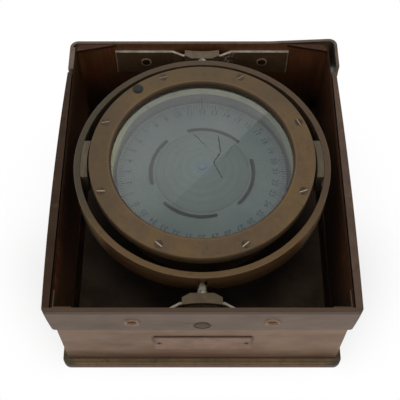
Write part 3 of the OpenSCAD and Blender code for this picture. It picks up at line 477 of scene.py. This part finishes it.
def card_marks(f, colour, r, rings):
    """The card's marks: two scale rings, a painted shadow along its rim at the right, and a darker band along
    its slots.
    """
    to_right = f.along("x").rise(0.0, 0.04)
    scale_ring = r.near(0.0588, 0.00035) + r.near(0.0513, 0.0003)
    colour = f.blend(colour, srgb(44, 52, 58), scale_ring.clip() * 0.30)
    # Painted shadow: the card's rim at the right darkened, the shadow of its edge.
    colour = f.blend(colour, srgb(30, 36, 38), r.rise(0.0634, 0.0640) * to_right * 0.8)
    paler = to_right * f.along("y").rise(0.0, -0.04) * r.rise(0.060, 0.054)
    # Darker along the slots.
    slot_band = r.near(SLOT_RADIUS * MM, 0.0034) * f.near_slots()
    return colour, 0.92 - slot_band * 0.22 + rings * 0.01 + paler * 0.08


def float_marks(f, colour, r, rings):
    """The float's own marks: a bluer middle, broad rings from its turning, and a darker rim."""
    colour = f.blend(colour, srgb(84, 100, 116), r.rise(0.0120, 0.0040) * 0.45)
    broad = (r * 1020.0).math("SINE") * r.rise(0.034, 0.028)
    return colour, 0.92 + rings * 0.04 + broad * 0.055 - r.rise(0.0345, 0.0362) * 0.05


def old_paint(name, seed, base, dark, marks):
    """Painted sheet, greyed and blotched by age, faintly ringed by its spinning, with marks of its own."""
    f = Finish(name)
    patch = f.cloud(0.045, 5.0, shift=seed)
    blots = f.cloud(0.16, 4.0, shift=seed + 2.0).rise(0.60, 0.80)
    r = f.from_middle()
    colour = f.blend(base, dark, patch.rise(0.35, 0.7))
    colour = f.blend(colour, srgb(66, 70, 66), blots * 0.4)
    rings = (r * 1900.0).math("SINE") * 0.6 + (r * 5300.0).math("SINE") * 0.4
    colour, share = marks(f, colour, r, rings)
    return f.done(f.surface(
        Base_Color=f.dimmed(colour, share), Roughness=0.6 + (patch - 0.5) * 0.2, Specular_IOR_Level=DULL,
    ))


def bowl_paint():
    """The bowl: brown outside, old cream paint round its mouth and bluish grey paint below that inside, with
    painted light inside: the cream and grey lighter or greyer at the left and right, and a lighter bluish
    grey low down under the card's slots.
    """
    f = Finish("bowl_paint")
    x, r, z = f.along("x"), f.from_middle(), f.along("z")
    patch = f.cloud(0.06, 4.0, shift=3.0)
    fine = f.cloud(0.8, 3.0, shift=6.0)
    left, right = x.rise(-0.054, -0.067), x.rise(0.030, 0.062)
    cream = f.blend(srgb(164, 152, 125), srgb(143, 138, 113), patch.rise(0.35, 0.7))
    # Painted light: lighter, yellower cream at the left and greyer cream at the right, copies of one paint
    # for how light falls there.
    cream = f.blend(cream, srgb(198, 188, 134), left * 0.9)
    cream = f.blend(cream, srgb(150, 144, 128), right * 0.9)
    grey = f.blend(srgb(88, 90, 84), srgb(78, 82, 78), patch.rise(0.35, 0.7))
    # Painted light: lighter grey at the left and right, higher up.
    grey = f.blend(grey, srgb(136, 134, 114), left * z.rise(0.040, 0.055) * 0.9)
    grey = f.blend(grey, srgb(122, 124, 118), right * z.rise(0.040, 0.060) * 0.9)
    brown = f.blend(srgb(74, 58, 44), srgb(52, 44, 36), patch.rise(0.35, 0.7))
    ragged = (f.cloud(0.2, 3.0, shift=9.0) - 0.5) * 0.002
    # Painted light: a lighter bluish grey low down away from the middle, a painted lift where the card's
    # slots look down into the shaded bowl.
    grey = f.blend(grey, srgb(138, 154, 146), abs(x).rise(0.014, 0.030) * z.rise(0.072, 0.062) * 0.9)
    aside = (abs(x) / 0.068) ** 16.0 * 0.0215
    painted = f.blend(grey, cream, (z + ragged + aside).rise(0.0925, 0.0945))
    outwards = (x * f.facing("x") + f.along("y") * f.facing("y")) / (r + 0.0001)
    inside = (f.facing("z") - outwards).rise(-0.2, 0.2) * r.rise(0.0694, 0.0688)
    colour = f.blend(brown, painted, inside)
    share = 0.86 + (fine - 0.5) * 0.3
    return f.done(f.surface(
        Base_Color=f.dimmed(colour, share), Roughness=0.5 + (fine - 0.5) * 0.2,
        Specular_IOR_Level=DULL, Normal=f.bumps(fine, 0.05),
    ))


def plain_old(name, base, dark, rough=0.5, metallic=0.0, per_mm=0.5, seed=0.0, relief=0.03, shine=0.3):
    """A small piece's finish: one colour with darker patches and a grain."""
    f = Finish(name)
    patch = f.cloud(per_mm * 0.4, 3.0, shift=seed)
    fine = f.cloud(per_mm * 2.0, 3.0, shift=seed + 3.0)
    colour = f.blend(base, dark, patch.rise(0.42, 0.7))
    share = 0.9 + (fine - 0.5) * 0.3
    return f.done(f.surface(
        Base_Color=f.dimmed(colour, share), Metallic=metallic, Roughness=rough + (fine - 0.5) * 0.2,
        Specular_IOR_Level=shine, Normal=f.bumps(fine, relief),
    ))


def rivet_metal(name, base, dark, inner):
    """Rivets and their washers: copper on the case's outside; inside it the rivets are dull and the washers
    lighter, a painted lift against the shade in the case.
    """
    f = Finish(name)
    y = f.along("y")
    patch = f.cloud(0.3, 3.0, shift=2.0)
    fine = f.cloud(1.4, 3.0, shift=5.0)
    colour = f.blend(base, dark, patch.rise(0.42, 0.7))
    colour = f.blend(colour, inner, abs(y).rise(0.1165, 0.1160) * 0.9)
    return f.done(f.surface(
        Base_Color=f.dimmed(colour, 0.9 + (fine - 0.5) * 0.3), Metallic=0.4,
        Roughness=0.4 + (fine - 0.5) * 0.2, Specular_IOR_Level=0.3, Normal=f.bumps(fine, 0.03),
    ))


def screw_metal():
    """A bezel screw's head: brown like the bezel, in darker patches."""
    f = Finish("screw_brass")
    fine = f.cloud(1.2, 3.0, shift=4.0)
    patch = f.cloud(0.5, 3.0, shift=6.0)
    colour = f.blend(srgb(78, 63, 46), srgb(54, 45, 35), patch.rise(0.38, 0.66))
    return f.done(f.surface(
        Base_Color=f.dimmed(colour, 0.88 + (fine - 0.5) * 0.3), Metallic=0.4,
        Roughness=0.44 + (fine - 0.5) * 0.2, Specular_IOR_Level=DULL, Normal=f.bumps(fine, 0.02),
    ))


def slot_metal():
    """The bottoms of the screws' slots, painted bright as a highlight, brightest in front."""
    f = Finish("slot_highlight_paint")
    fine = f.cloud(0.8, 3.0, shift=4.0)
    colour = f.blend(srgb(176, 164, 142), srgb(132, 118, 98), f.along("y").rise(-0.065, 0.065))
    return f.done(f.surface(
        Base_Color=f.dimmed(colour, 0.9 + (fine - 0.5) * 0.5), Metallic=0.2, Roughness=0.4,
        Specular_IOR_Level=0.3, Normal=f.bumps(fine, 0.02),
    ))


def bezel_metal():
    """The bezel: orange-brown and mottled on top, dark on its inner slope, with a pale worn inner edge."""
    f = Finish("bezel_brass")
    x, r, z = f.along("x"), f.from_middle(), f.along("z")
    patch = f.cloud(0.05, 4.0, shift=1.0)
    mottle = f.cloud(0.22, 5.0, shift=4.0)
    fine = f.cloud(0.9, 3.0, shift=8.0)
    colour = f.blend(srgb(100, 80, 52), srgb(88, 72, 54), patch.rise(0.35, 0.65))
    colour = f.blend(colour, srgb(112, 80, 52), mottle.rise(0.53, 0.70) * (0.35 + x.rise(0.0, 0.08) * 0.4))
    colour = f.blend(colour, srgb(64, 50, 36), mottle.rise(0.44, 0.28) * 0.6)
    colour = f.blend(colour, srgb(80, 68, 52), f.along("y").rise(0.03, 0.08) * 0.5)
    colour = f.blend(colour, srgb(78, 64, 47), x.rise(-0.050, -0.076) * 0.6)
    colour = f.blend(colour, srgb(48, 40, 32), f.spots(0.20, 0.10, 5.0) * 0.6)
    worn = r.near(0.0695, 0.0005) * z.rise(0.1082, 0.1088)
    colour = f.blend(colour, srgb(112, 96, 70), worn * 0.5)
    inside = r.rise(0.0691, 0.0683) * (1.0 - f.along("y").rise(-0.040, -0.064) * 0.8)
    colour = f.blend(colour, srgb(66, 51, 37), inside * 0.85)
    share = 0.9 + (fine - 0.5) * 0.34
    return f.done(f.surface(
        Base_Color=f.dimmed(colour, share), Metallic=0.4, Roughness=0.5 + (fine - 0.5) * 0.2,
        Specular_IOR_Level=DULL, Normal=f.bumps(mottle + fine * 0.4, 0.06),
    ))


def base_metal():
    """The base board: dark brown-green ledge with level streaks, rubbed front edge, greyer corners."""
    f = Finish("base_brown")
    x, y = f.along("x"), f.along("y")
    patch = f.cloud(0.05, 4.0, shift=2.0)
    mottle = f.cloud(0.25, 4.0, shift=5.0)
    streak = f.cloud(0.9, 4.0, (0.06, 1.0, 1.0), 3.0)
    fine = f.cloud(0.9, 3.0, shift=8.0)
    colour = f.blend(srgb(130, 107, 82), srgb(108, 92, 70), patch.rise(0.4, 0.65))
    colour = f.blend(colour, srgb(64, 60, 46), mottle.rise(0.56, 0.74) * 0.6)
    colour = f.blend(colour, srgb(66, 58, 44), streak.rise(0.56, 0.68) * 0.5)
    colour = f.blend(colour, srgb(84, 68, 50), y.near(-0.1222, 0.0007) * 0.5)
    ragged = (mottle - 0.5) * 0.001
    colour = f.blend(colour, srgb(160, 132, 104), (y + ragged).near(-0.1236, 0.0007) * 0.5)
    joint = y.rise(-0.1206, -0.1192).math("MINIMUM", y.rise(-0.112, -0.117))
    colour = f.blend(colour, srgb(78, 58, 42), joint * 0.9)
    side = f.facing("z").rise(0.6, 0.2)
    rubbed = f.blend(srgb(94, 59, 36), srgb(75, 45, 27), mottle.rise(0.4, 0.65))
    colour = f.blend(colour, rubbed, side)
    corner = (abs(x) + abs(y)).rise(0.216, 0.226)
    colour = f.blend(colour, srgb(62, 58, 48), corner * 0.8)
    share = 0.9 + (fine - 0.5) * 0.3 + (streak - 0.5) * 0.6
    return f.done(f.surface(
        Base_Color=f.dimmed(colour, share), Metallic=0.3, Roughness=0.5 + (fine - 0.5) * 0.2,
        Specular_IOR_Level=DULL, Normal=f.bumps(mottle + fine * 0.3, 0.08),
    ))


def ring_metal():
    """The gimbal ring: brown on top, greyer on the left, darker below, with fine turned lines and a painted
    highlight on its top edges.
    """
    f = Finish("ring_brass")
    x, y, z, r = f.along("x"), f.along("y"), f.along("z"), f.from_middle()
    patch = f.cloud(0.05, 4.0, shift=3.0)
    mottle = f.cloud(0.22, 5.0, shift=6.0)
    fine = f.cloud(0.9, 3.0, shift=9.0)
    turned = (r * 4100.0).math("SINE")
    colour = f.blend(srgb(77, 61, 45), srgb(64, 57, 44), x.rise(-0.01, -0.08))
    colour = f.blend(colour, srgb(96, 74, 47), y.rise(-0.025, -0.070) * 0.9)
    colour = f.blend(colour, srgb(44, 36, 26), mottle.rise(0.56, 0.74) * 0.5)
    outside = f.facing("z").rise(0.8, 0.3) * r.rise(0.0930, 0.0940)
    outer = f.blend(srgb(66, 45, 26), srgb(112, 92, 66), abs(x).rise(0.064, 0.076))
    colour = f.blend(colour, outer, outside * 0.9)
    # Pale lines on the top's inner and outer edges: a painted highlight, patchy like rubbed wear.
    edges = r.near(0.0908, 0.0005).math("MAXIMUM", r.near(0.0951, 0.0005))
    rubbed = edges * z.rise(0.1012, 0.1018) * mottle.rise(0.35, 0.6)
    colour = f.blend(colour, srgb(112, 92, 66), rubbed * 0.5)
    share = 0.94 + (fine - 0.5) * 0.3 + (patch - 0.5) * 0.3 + turned * 0.04
    return f.done(f.surface(
        Base_Color=f.dimmed(colour, share), Metallic=0.3, Roughness=0.46 + (fine - 0.5) * 0.2,
        Specular_IOR_Level=DULL, Normal=f.bumps(mottle + fine * 0.3, 0.07),
    ))


def finish_case():
    """The case's walls, bands, floor, board and plate."""
    wear(front_face(), "front_wall")
    wear(patina("band_left", srgb(50, 35, 23), srgb(33, 23, 15), srgb(76, 57, 42), 0.06), "left_band")
    wear(patina("band_right", srgb(81, 65, 54), srgb(52, 41, 32), srgb(102, 82, 66), 0.06, shift=2.0),
         "right_band")
    wear(patina("band_rear", srgb(90, 78, 66), srgb(62, 54, 45), srgb(112, 100, 84), 0.09, shift=4.0),
         "rear_band")
    wear(patina("web_brown", srgb(58, 36, 23), srgb(40, 24, 15), srgb(76, 50, 34), 0.10, shift=9.0),
         "rim_webs")
    wear(patina("angle_brown", srgb(70, 53, 40), srgb(44, 33, 25), srgb(92, 72, 56), 0.1, shift=5.0),
         "corner_angles")
    wear(base_metal(), "base_board")
    # One lacquer on the three walls: their different colours are painted light and shade, lighter or darker
    # copies for how each wall is lit.
    wear(lacquer("lacquer_left", srgb(54, 32, 18), srgb(106, 68, 48), 1.0, lip_colour=srgb(28, 18, 11)),
         "left_wall")
    wear(lacquer("lacquer_right", srgb(62, 38, 24), srgb(44, 26, 16), 3.0, lip_colour=srgb(38, 26, 17)),
         "right_wall")
    wear(lacquer("lacquer_rear", srgb(90, 54, 32), srgb(44, 31, 19), 6.0, lip_colour=srgb(52, 34, 22)),
         "rear_wall")
    wear(dirty_floor(), "floor_panel")
    wear(lacquer("lacquer_beads", srgb(50, 36, 25), srgb(38, 28, 20), 9.0, 0.15), "floor_beads")
    wear(plate_face(), "nameplate")
    wear(plain_old("dark_pins", srgb(84, 60, 45), srgb(60, 44, 34), 0.6, 0.6, 1.2, shine=0.1),
         "nameplate_pins")


def finish_gimbal():
    """The brackets with their blocks and rivets, the pivots and the ring."""
    # The colour along both brackets' top edges, and down the rear bracket's ends, is a painted highlight.
    wear(patina("bracket_front", srgb(148, 139, 120), srgb(106, 98, 83), srgb(170, 160, 142), 0.12,
                metallic=0.3, shift=1.0, relief=0.1, edge=(91.4, srgb(136, 128, 112))), "front_bracket")
    wear(patina("bracket_rear", srgb(88, 68, 48), srgb(58, 44, 31), srgb(108, 88, 66), 0.12, metallic=0.3,
                shift=2.0, relief=0.1, edge=(91.2, srgb(206, 196, 178)), end_x=71.5), "rear_bracket")
    wear(patina("block_front", srgb(78, 66, 49), srgb(54, 45, 33), srgb(100, 86, 64), 0.15, metallic=0.3,
                shift=3.0), "front_bearing_block")
    wear(patina("block_rear", srgb(92, 80, 63), srgb(64, 54, 42), srgb(114, 98, 78), 0.15, metallic=0.3,
                shift=4.0), "rear_bearing_block")
    wear(rivet_metal("rivet_copper", srgb(101, 49, 17), srgb(70, 35, 14), srgb(46, 34, 24)),
         "bracket_rivets")
    # Inside the case the washers are painted lighter: a painted lift against the shade there.
    wear(rivet_metal("washer_copper", srgb(136, 111, 90), srgb(98, 77, 60), srgb(185, 156, 127)),
         "rivet_washers")
    wear(plain_old("worn_steel", srgb(176, 170, 154), srgb(96, 92, 80), 0.35, 0.3, 0.6, 3.0),
         "front_pivot_screw", "rear_pivot_screw", "left_trunnion", "right_trunnion")
    wear(ring_metal(), "gimbal_ring")
    wear(patina("pad_brass", srgb(84, 75, 58), srgb(48, 42, 32), srgb(110, 98, 76), 0.15, metallic=0.3,
                stretch=(2.5, 0.5, 1.0), shift=5.0), "left_bearing_pad", "right_bearing_pad")


def finish_bowl():
    """The bowl, what closes it, and the black point at its back."""
    wear(bezel_metal(), "bezel_ring")
    wear(patina("flange_brass", srgb(62, 49, 31), srgb(44, 35, 24), srgb(78, 63, 44), 0.1, metallic=0.3,
                shift=6.0), "bowl_flange")
    wear(bowl_paint(), "bowl_shell")
    wear(patina("lower_brass", srgb(70, 58, 44), srgb(46, 38, 30), srgb(90, 76, 58), 0.1, metallic=0.3,
                shift=7.0), "chamber_ring", "left_boss", "right_boss")
    wear(plain_old("cover_screw_brass", srgb(120, 104, 74), srgb(84, 72, 52), 0.4, 0.7, 0.8, 5.0),
         "cover_screws")
    wear(clear_pane(), "cover_glass")
    wear(plain_old("old_rubber", srgb(44, 44, 42), srgb(32, 32, 30), 0.75, 0.0, 0.6),
         "glass_gasket", "filler_washer")
    wear(plain_old("plug_grey", srgb(35, 35, 32), srgb(27, 27, 24), 0.5, 0.0, 0.6, 6.0, shine=DULL),
         "filler_plug")
    wear(plain_old("point_black", srgb(24, 24, 22), srgb(16, 16, 15), 0.5, 0.0, 0.6), "lubber_point")


def finish_inner_pieces():
    """The card with its float, and the pieces that carry it, weigh the bowl down or let the liquid expand."""
    wear(patina("inner_brass", srgb(138, 118, 80), srgb(96, 80, 54), srgb(160, 140, 100), 0.12, shift=8.0),
         "pivot_post", "post_nut", "diaphragm_cover", "jewel_cup")
    wear(plain_old("cap_blue", srgb(86, 98, 112), srgb(70, 80, 90), 0.4, 0.2, 0.6, 7.0), "card_cap")
    wear(plain_old("diaphragm_copper", srgb(134, 92, 66), srgb(100, 70, 50), 0.4, 0.7, 0.5, 8.0),
         "diaphragm")
    wear(plain_old("needle_steel", srgb(150, 148, 142), srgb(110, 108, 102), 0.3, 0.8, 0.6, 9.0),
         "pivot_needle")
    wear(plain_old("dull_lead", srgb(88, 88, 90), srgb(64, 64, 66), 0.6, 0.4, 0.4, 10.0),
         "ballast_ring", "card_magnets")
    wear(old_paint("card_paint", 2.0, srgb(92, 99, 97), srgb(84, 92, 92), card_marks), "compass_card")
    wear(old_paint("dome_paint", 4.0, srgb(94, 99, 96), srgb(88, 95, 92), float_marks), "float_dome")
    wear(old_paint("pan_paint", 6.0, srgb(88, 94, 92), srgb(80, 86, 84), float_marks), "float_pan")


# Soft edges on the model's pieces, by their width in millimetres

EDGE_MM = {
    "front_wall": 0.6, "rear_wall": 0.25, "left_wall": 0.25, "right_wall": 0.25,
    "left_band": 0.5, "right_band": 0.5, "base_board": 0.8, "nameplate": 0.25,
    "gimbal_ring": 0.5, "bowl_flange": 0.5, "front_bracket": 0.4, "rear_bracket": 0.4,
    "front_bearing_block": 0.6, "rear_bearing_block": 0.6, "left_bearing_pad": 0.5, "right_bearing_pad": 0.5,
    "filler_plug": 0.4, "front_pivot_screw": 0.3, "rear_pivot_screw": 0.3,
    "ballast_ring": 0.6, "diaphragm_cover": 0.4, "chamber_ring": 0.4, "card_cap": 0.3, "float_dome": 0.3,
    "cover_glass": 0.3,
}


def soften_edges():
    """A small round on the edges of each piece in the list."""
    for name, width in EDGE_MM.items():
        piece = nodes[name]
        weld = piece.modifiers.new("joined", "WELD")
        weld.merge_threshold = 0.00001
        bevel = piece.modifiers.new("soft_edges", "BEVEL")
        bevel.width = width * MM
        bevel.segments = 2
        bevel.limit_method = "ANGLE"
        bevel.angle_limit = math.radians(35)
        bevel.use_clamp_overlap = True
        bevel.harden_normals = True


# Pieces added to the model's

def add_object(name, data):
    """A new object in the scene."""
    made = bpy.data.objects.new(name, data)
    bpy.context.scene.collection.objects.link(made)
    return made


def mesh_piece(name, build, material, body, smooth=False):
    """A new piece from mesh code, riding on a body."""
    mesh = bpy.data.meshes.new(name)
    work = bmesh.new()
    build(work)
    work.to_mesh(mesh)
    work.free()
    if smooth:
        mesh.shade_smooth()
    mesh.materials.append(material)
    piece = add_object(name, mesh)
    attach(piece, body)
    return piece


def add_bar(work, start, end, width, z):
    """A flat painted line from start to end, millimetres in plan, at height z."""
    a, b = Vector(start), Vector(end)
    across = Vector((-(b - a).y, (b - a).x)).normalized() * width / 2
    corners = [a - across, b - across, b + across, a + across]
    work.faces.new([work.verts.new((c.x * MM, c.y * MM, z * MM)) for c in corners])


def on_circle(radius, degrees):
    """A point in plan on a circle about the middle."""
    return Vector((radius * math.cos(math.radians(degrees)), radius * math.sin(math.radians(degrees))))


def card_ticks(work):
    """The card's scale: a tick every 2 degrees, longer at every 10."""
    for step in range(0, 360, 2):
        turn = ZERO_TURN - step
        inner, width = (LONG_TICK_IN, 0.75) if step % 10 == 0 else (TICK_IN, 0.5)
        add_bar(work, on_circle(inner, turn), on_circle(TICK_OUT, turn), width, CARD_TOP + INK_RISE)


def card_numbers(work):
    """Plain numbers round the card, in tens of degrees, their tops outwards."""
    for number in range(36):
        turn = ZERO_TURN - number * 10
        text = bpy.data.curves.new("number", "FONT")
        text.body = str(number)
        text.size = FIGURE_SIZE * MM
        text.offset = 0.12 * MM
        text.align_x = "CENTER"
        text.align_y = "CENTER"
        shown = bpy.data.objects.new("number", text)
        outline = bpy.data.meshes.new_from_object(shown)
        place = on_circle(FIGURE_CIRCLE, turn)
        outline.transform(
            Matrix.Translation((place.x * MM, place.y * MM, (CARD_TOP + INK_RISE) * MM))
            @ Matrix.Rotation(math.radians(turn - 90.0), 4, "Z")
        )
        work.from_mesh(outline)
        bpy.data.objects.remove(shown)
        bpy.data.curves.remove(text)
        bpy.data.meshes.remove(outline)


def add_lump(work, outline, low, high):
    """A flat-topped lump from an outline in millimetres, between two heights. Outline runs anticlockwise."""
    bottom = [work.verts.new((x * MM, y * MM, low * MM)) for x, y in outline]
    top = [work.verts.new((x * MM, y * MM, high * MM)) for x, y in outline]
    work.faces.new(top)
    work.faces.new(list(reversed(bottom)))
    for i in range(len(outline)):
        j = (i + 1) % len(outline)
        work.faces.new((bottom[i], bottom[j], top[j], top[i]))


def screw_places():
    """The middle of each bezel screw, and the turn of its slot."""
    for number, slot_turn in enumerate(SCREW_TURNS):
        yield on_circle(SCREW_CIRCLE, FIRST_SCREW + SCREW_STEP * number), slot_turn


def round_outline(middle, radius):
    """A circle in plan, in 24 steps."""
    return [tuple(middle + on_circle(radius, 15 * i)) for i in range(24)]


def screw_heads(work):
    """The bezel's eight slotted screws: each head in two halves with the slot between them, and a shank."""
    half = math.degrees(math.asin(SLOT_HALF / SCREW_HEAD))
    for middle, slot_turn in screw_places():
        for side in (0, 180):
            turns = [half + (180 - 2 * half) * i / 16 for i in range(17)]
            outline = [tuple(middle + on_circle(SCREW_HEAD, turn + side + slot_turn)) for turn in turns]
            add_lump(work, outline, BEZEL_TOP, BEZEL_TOP + HEAD_RISE)
        add_lump(work, round_outline(middle, CONE_RADIUS), BEZEL_TOP - 0.35, BEZEL_TOP - 0.05)
        add_lump(work, round_outline(middle, SHANK_RADIUS), BEZEL_TOP - SHANK_END, BEZEL_TOP - 0.35)


def screw_slots(work):
    """The bottoms of the bezel screws' slots, painted bright: a painted highlight."""
    for middle, slot_turn in screw_places():
        end = on_circle(SCREW_HEAD - 0.15, slot_turn)
        add_bar(work, middle - end, middle + end, 2 * SLOT_HALF, BEZEL_TOP + 0.03)


def solder_bead(work):
    """The bright curved bead of solder at the end of the right pad, on the ring's inner wall."""
    steps, sides = 12, 8
    rows = []
    for i in range(steps + 1):
        share = i / steps
        turn = -(PAD_END_TURN + 0.8 + 2.6 * share)
        radius = 0.9 * math.sin(math.pi * min(max(share, 0.08), 0.92))
        middle = on_circle(RING_IN - 0.4, turn)
        row = []
        for j in range(sides):
            a = 2 * math.pi * j / sides
            across = on_circle(radius * math.cos(a), turn)
            row.append(work.verts.new((
                (middle.x + across.x * 0.5) * MM, (middle.y + radius * math.sin(a)) * MM,
                (SOLDER_TOP - SOLDER_DROP * share) * MM,
            )))
        rows.append(row)
    for a, b in zip(rows, rows[1:]):
        for j in range(sides):
            work.faces.new((a[j], b[j], b[(j + 1) % sides], a[(j + 1) % sides]))
    work.faces.new(rows[0])
    work.faces.new(list(reversed(rows[-1])))


def scratch(*points):
    """A fine scratch on top of the glass, through these points in millimetres from its middle."""
    def build(work):
        for i, (start, end) in enumerate(zip(points, points[1:])):
            add_bar(work, start, end, 0.7 if i % 2 == 0 else 1.0, GLASS_TOP + 0.02)
    return build


def add_pieces():
    """The screws' heads, the card's scale and figures, the solder and the scratches."""
    ink = plain_old("card_ink", srgb(26, 42, 60), srgb(40, 54, 68), 0.6, 0.0, 0.3, 2.0)
    black_ink = plain_old("scale_ink", srgb(28, 30, 28), srgb(48, 52, 50), 0.6, 0.0, 0.3, 3.0)
    heads = mesh_piece("screw_heads", screw_heads, screw_metal(), "bowl")
    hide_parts("bezel_screws")
    mesh_piece("screw_slots", screw_slots, slot_metal(), "bowl")
    mesh_piece("card_scale", card_ticks, black_ink, "card")
    mesh_piece("card_figures", card_numbers, ink, "card")
    solder = plain_old("bright_solder", srgb(150, 152, 146), srgb(96, 98, 94), 0.35, 0.4, 0.8, 3.0)
    mesh_piece("pad_solder", solder_bead, solder, "ring", smooth=True)
    dark = plain_old("scratch_dirt", srgb(52, 56, 50), srgb(70, 74, 68), 0.6, 0.0, 0.5, 5.0)
    faint = plain_old("faint_dirt", srgb(84, 88, 84), srgb(92, 96, 92), 0.6, 0.0, 0.5, 6.0)
    long_path = ((12.4, 20.0), (13.7, 5.6), (8.4, -3.2), (14.9, -17.0))
    mesh_piece("long_scratch", scratch(*long_path), dark, "bowl")
    mesh_piece("left_scratch", scratch((-7.9, 24.5), (3.3, 11.0)), faint, "bowl")
    mesh_piece("right_scratch", scratch((15.1, -1.5), (19.7, 5.6), (22.8, 11.8)), faint, "bowl")


# Camera, floor and light

def make_camera():
    """In front and above, looking about 60 degrees down."""
    lens = bpy.data.cameras.new("camera")
    lens.lens = 73.0
    lens.sensor_width = 36.0
    lens.clip_start = 0.01
    camera = add_object("camera", lens)
    camera.location = (-0.00158, -0.32471, 0.61061)
    camera.rotation_euler = (math.radians(29.78), 0.0, 0.0)
    bpy.context.scene.camera = camera
    bpy.context.scene.view_settings.view_transform = "Standard"


def make_world():
    """Even white light from all round."""
    world = bpy.data.worlds.new("studio")
    bpy.context.scene.world = world
    world.use_nodes = True
    around = world.node_tree.nodes["Background"]
    around.inputs["Color"].default_value = (1.0, 1.0, 1.0, 1.0)
    around.inputs["Strength"].default_value = 1.0


def make_softbox():
    """A lit panel behind and above: the glass shows its straight edge across the card."""
    mesh = bpy.data.meshes.new("softbox")
    first, second = SOFTBOX_EDGE
    along = (second - first).normalized()
    across = Vector((along.y, -along.x))
    if across.x > 0:
        across = -across
    corners = [first - along * SOFTBOX_PAST_ENDS, second + along * SOFTBOX_PAST_ENDS]
    corners += [corners[1] + across * SOFTBOX_DEPTH, corners[0] + across * SOFTBOX_DEPTH]
    mesh.from_pydata([(c.x, c.y, SOFTBOX_Z) for c in corners], [], [(0, 1, 2, 3)])
    f = Finish("softbox_light")
    glow = 1.0 + SOFTBOX_GLOW * f.along("y").rise(0.35, 0.95)
    light = f.node("ShaderNodeEmission", {"Color": (1.0, 1.0, 1.0), "Strength": glow})
    mesh.materials.append(f.done(light))
    panel = add_object("softbox", mesh)


def make_floor():
    """A pale floor, white to the camera but for the object's soft shadow."""
    mesh = bpy.data.meshes.new("floor")
    corners = [(x * FLOOR_HALF, y * FLOOR_HALF, 0) for x, y in ((-1, -1), (1, -1), (1, 1), (-1, 1))]
    mesh.from_pydata(corners, [], [(0, 1, 2, 3)])
    f = Finish("floor_white")
    fine = f.cloud(0.02, 3.0)
    colour = f.blend((0.93, 0.93, 0.93), (0.91, 0.91, 0.91), fine)
    lit = f.surface(Base_Color=colour, Roughness=0.9, Specular_IOR_Level=0.0)
    white = f.node("ShaderNodeEmission", {"Color": (1.0, 1.0, 1.0), "Strength": 1.0})
    seen = f.node("ShaderNodeLightPath", output="Is Camera Ray")
    for ray in ("Is Glossy Ray", "Is Transmission Ray"):
        seen = seen.math("MAXIMUM", f.node("ShaderNodeLightPath", output=ray))
    y = f.along("y")
    near = f.from_middle().rise(0.195, 0.125) * y.rise(-0.140, -0.120)
    beside = abs(f.along("x")).rise(0.098, 0.112) * y.rise(0.03, -0.06)
    share = 1.0 - near * (0.12 + beside * 0.30)
    mesh.materials.append(f.done(f.node("ShaderNodeMixShader", {0: seen * share, 1: lit, 2: white})))
    floor = add_object("floor", mesh)


finish_case()
finish_gimbal()
finish_bowl()
finish_inner_pieces()
soften_edges()
add_pieces()
make_camera()
make_world()
make_softbox()
make_floor()
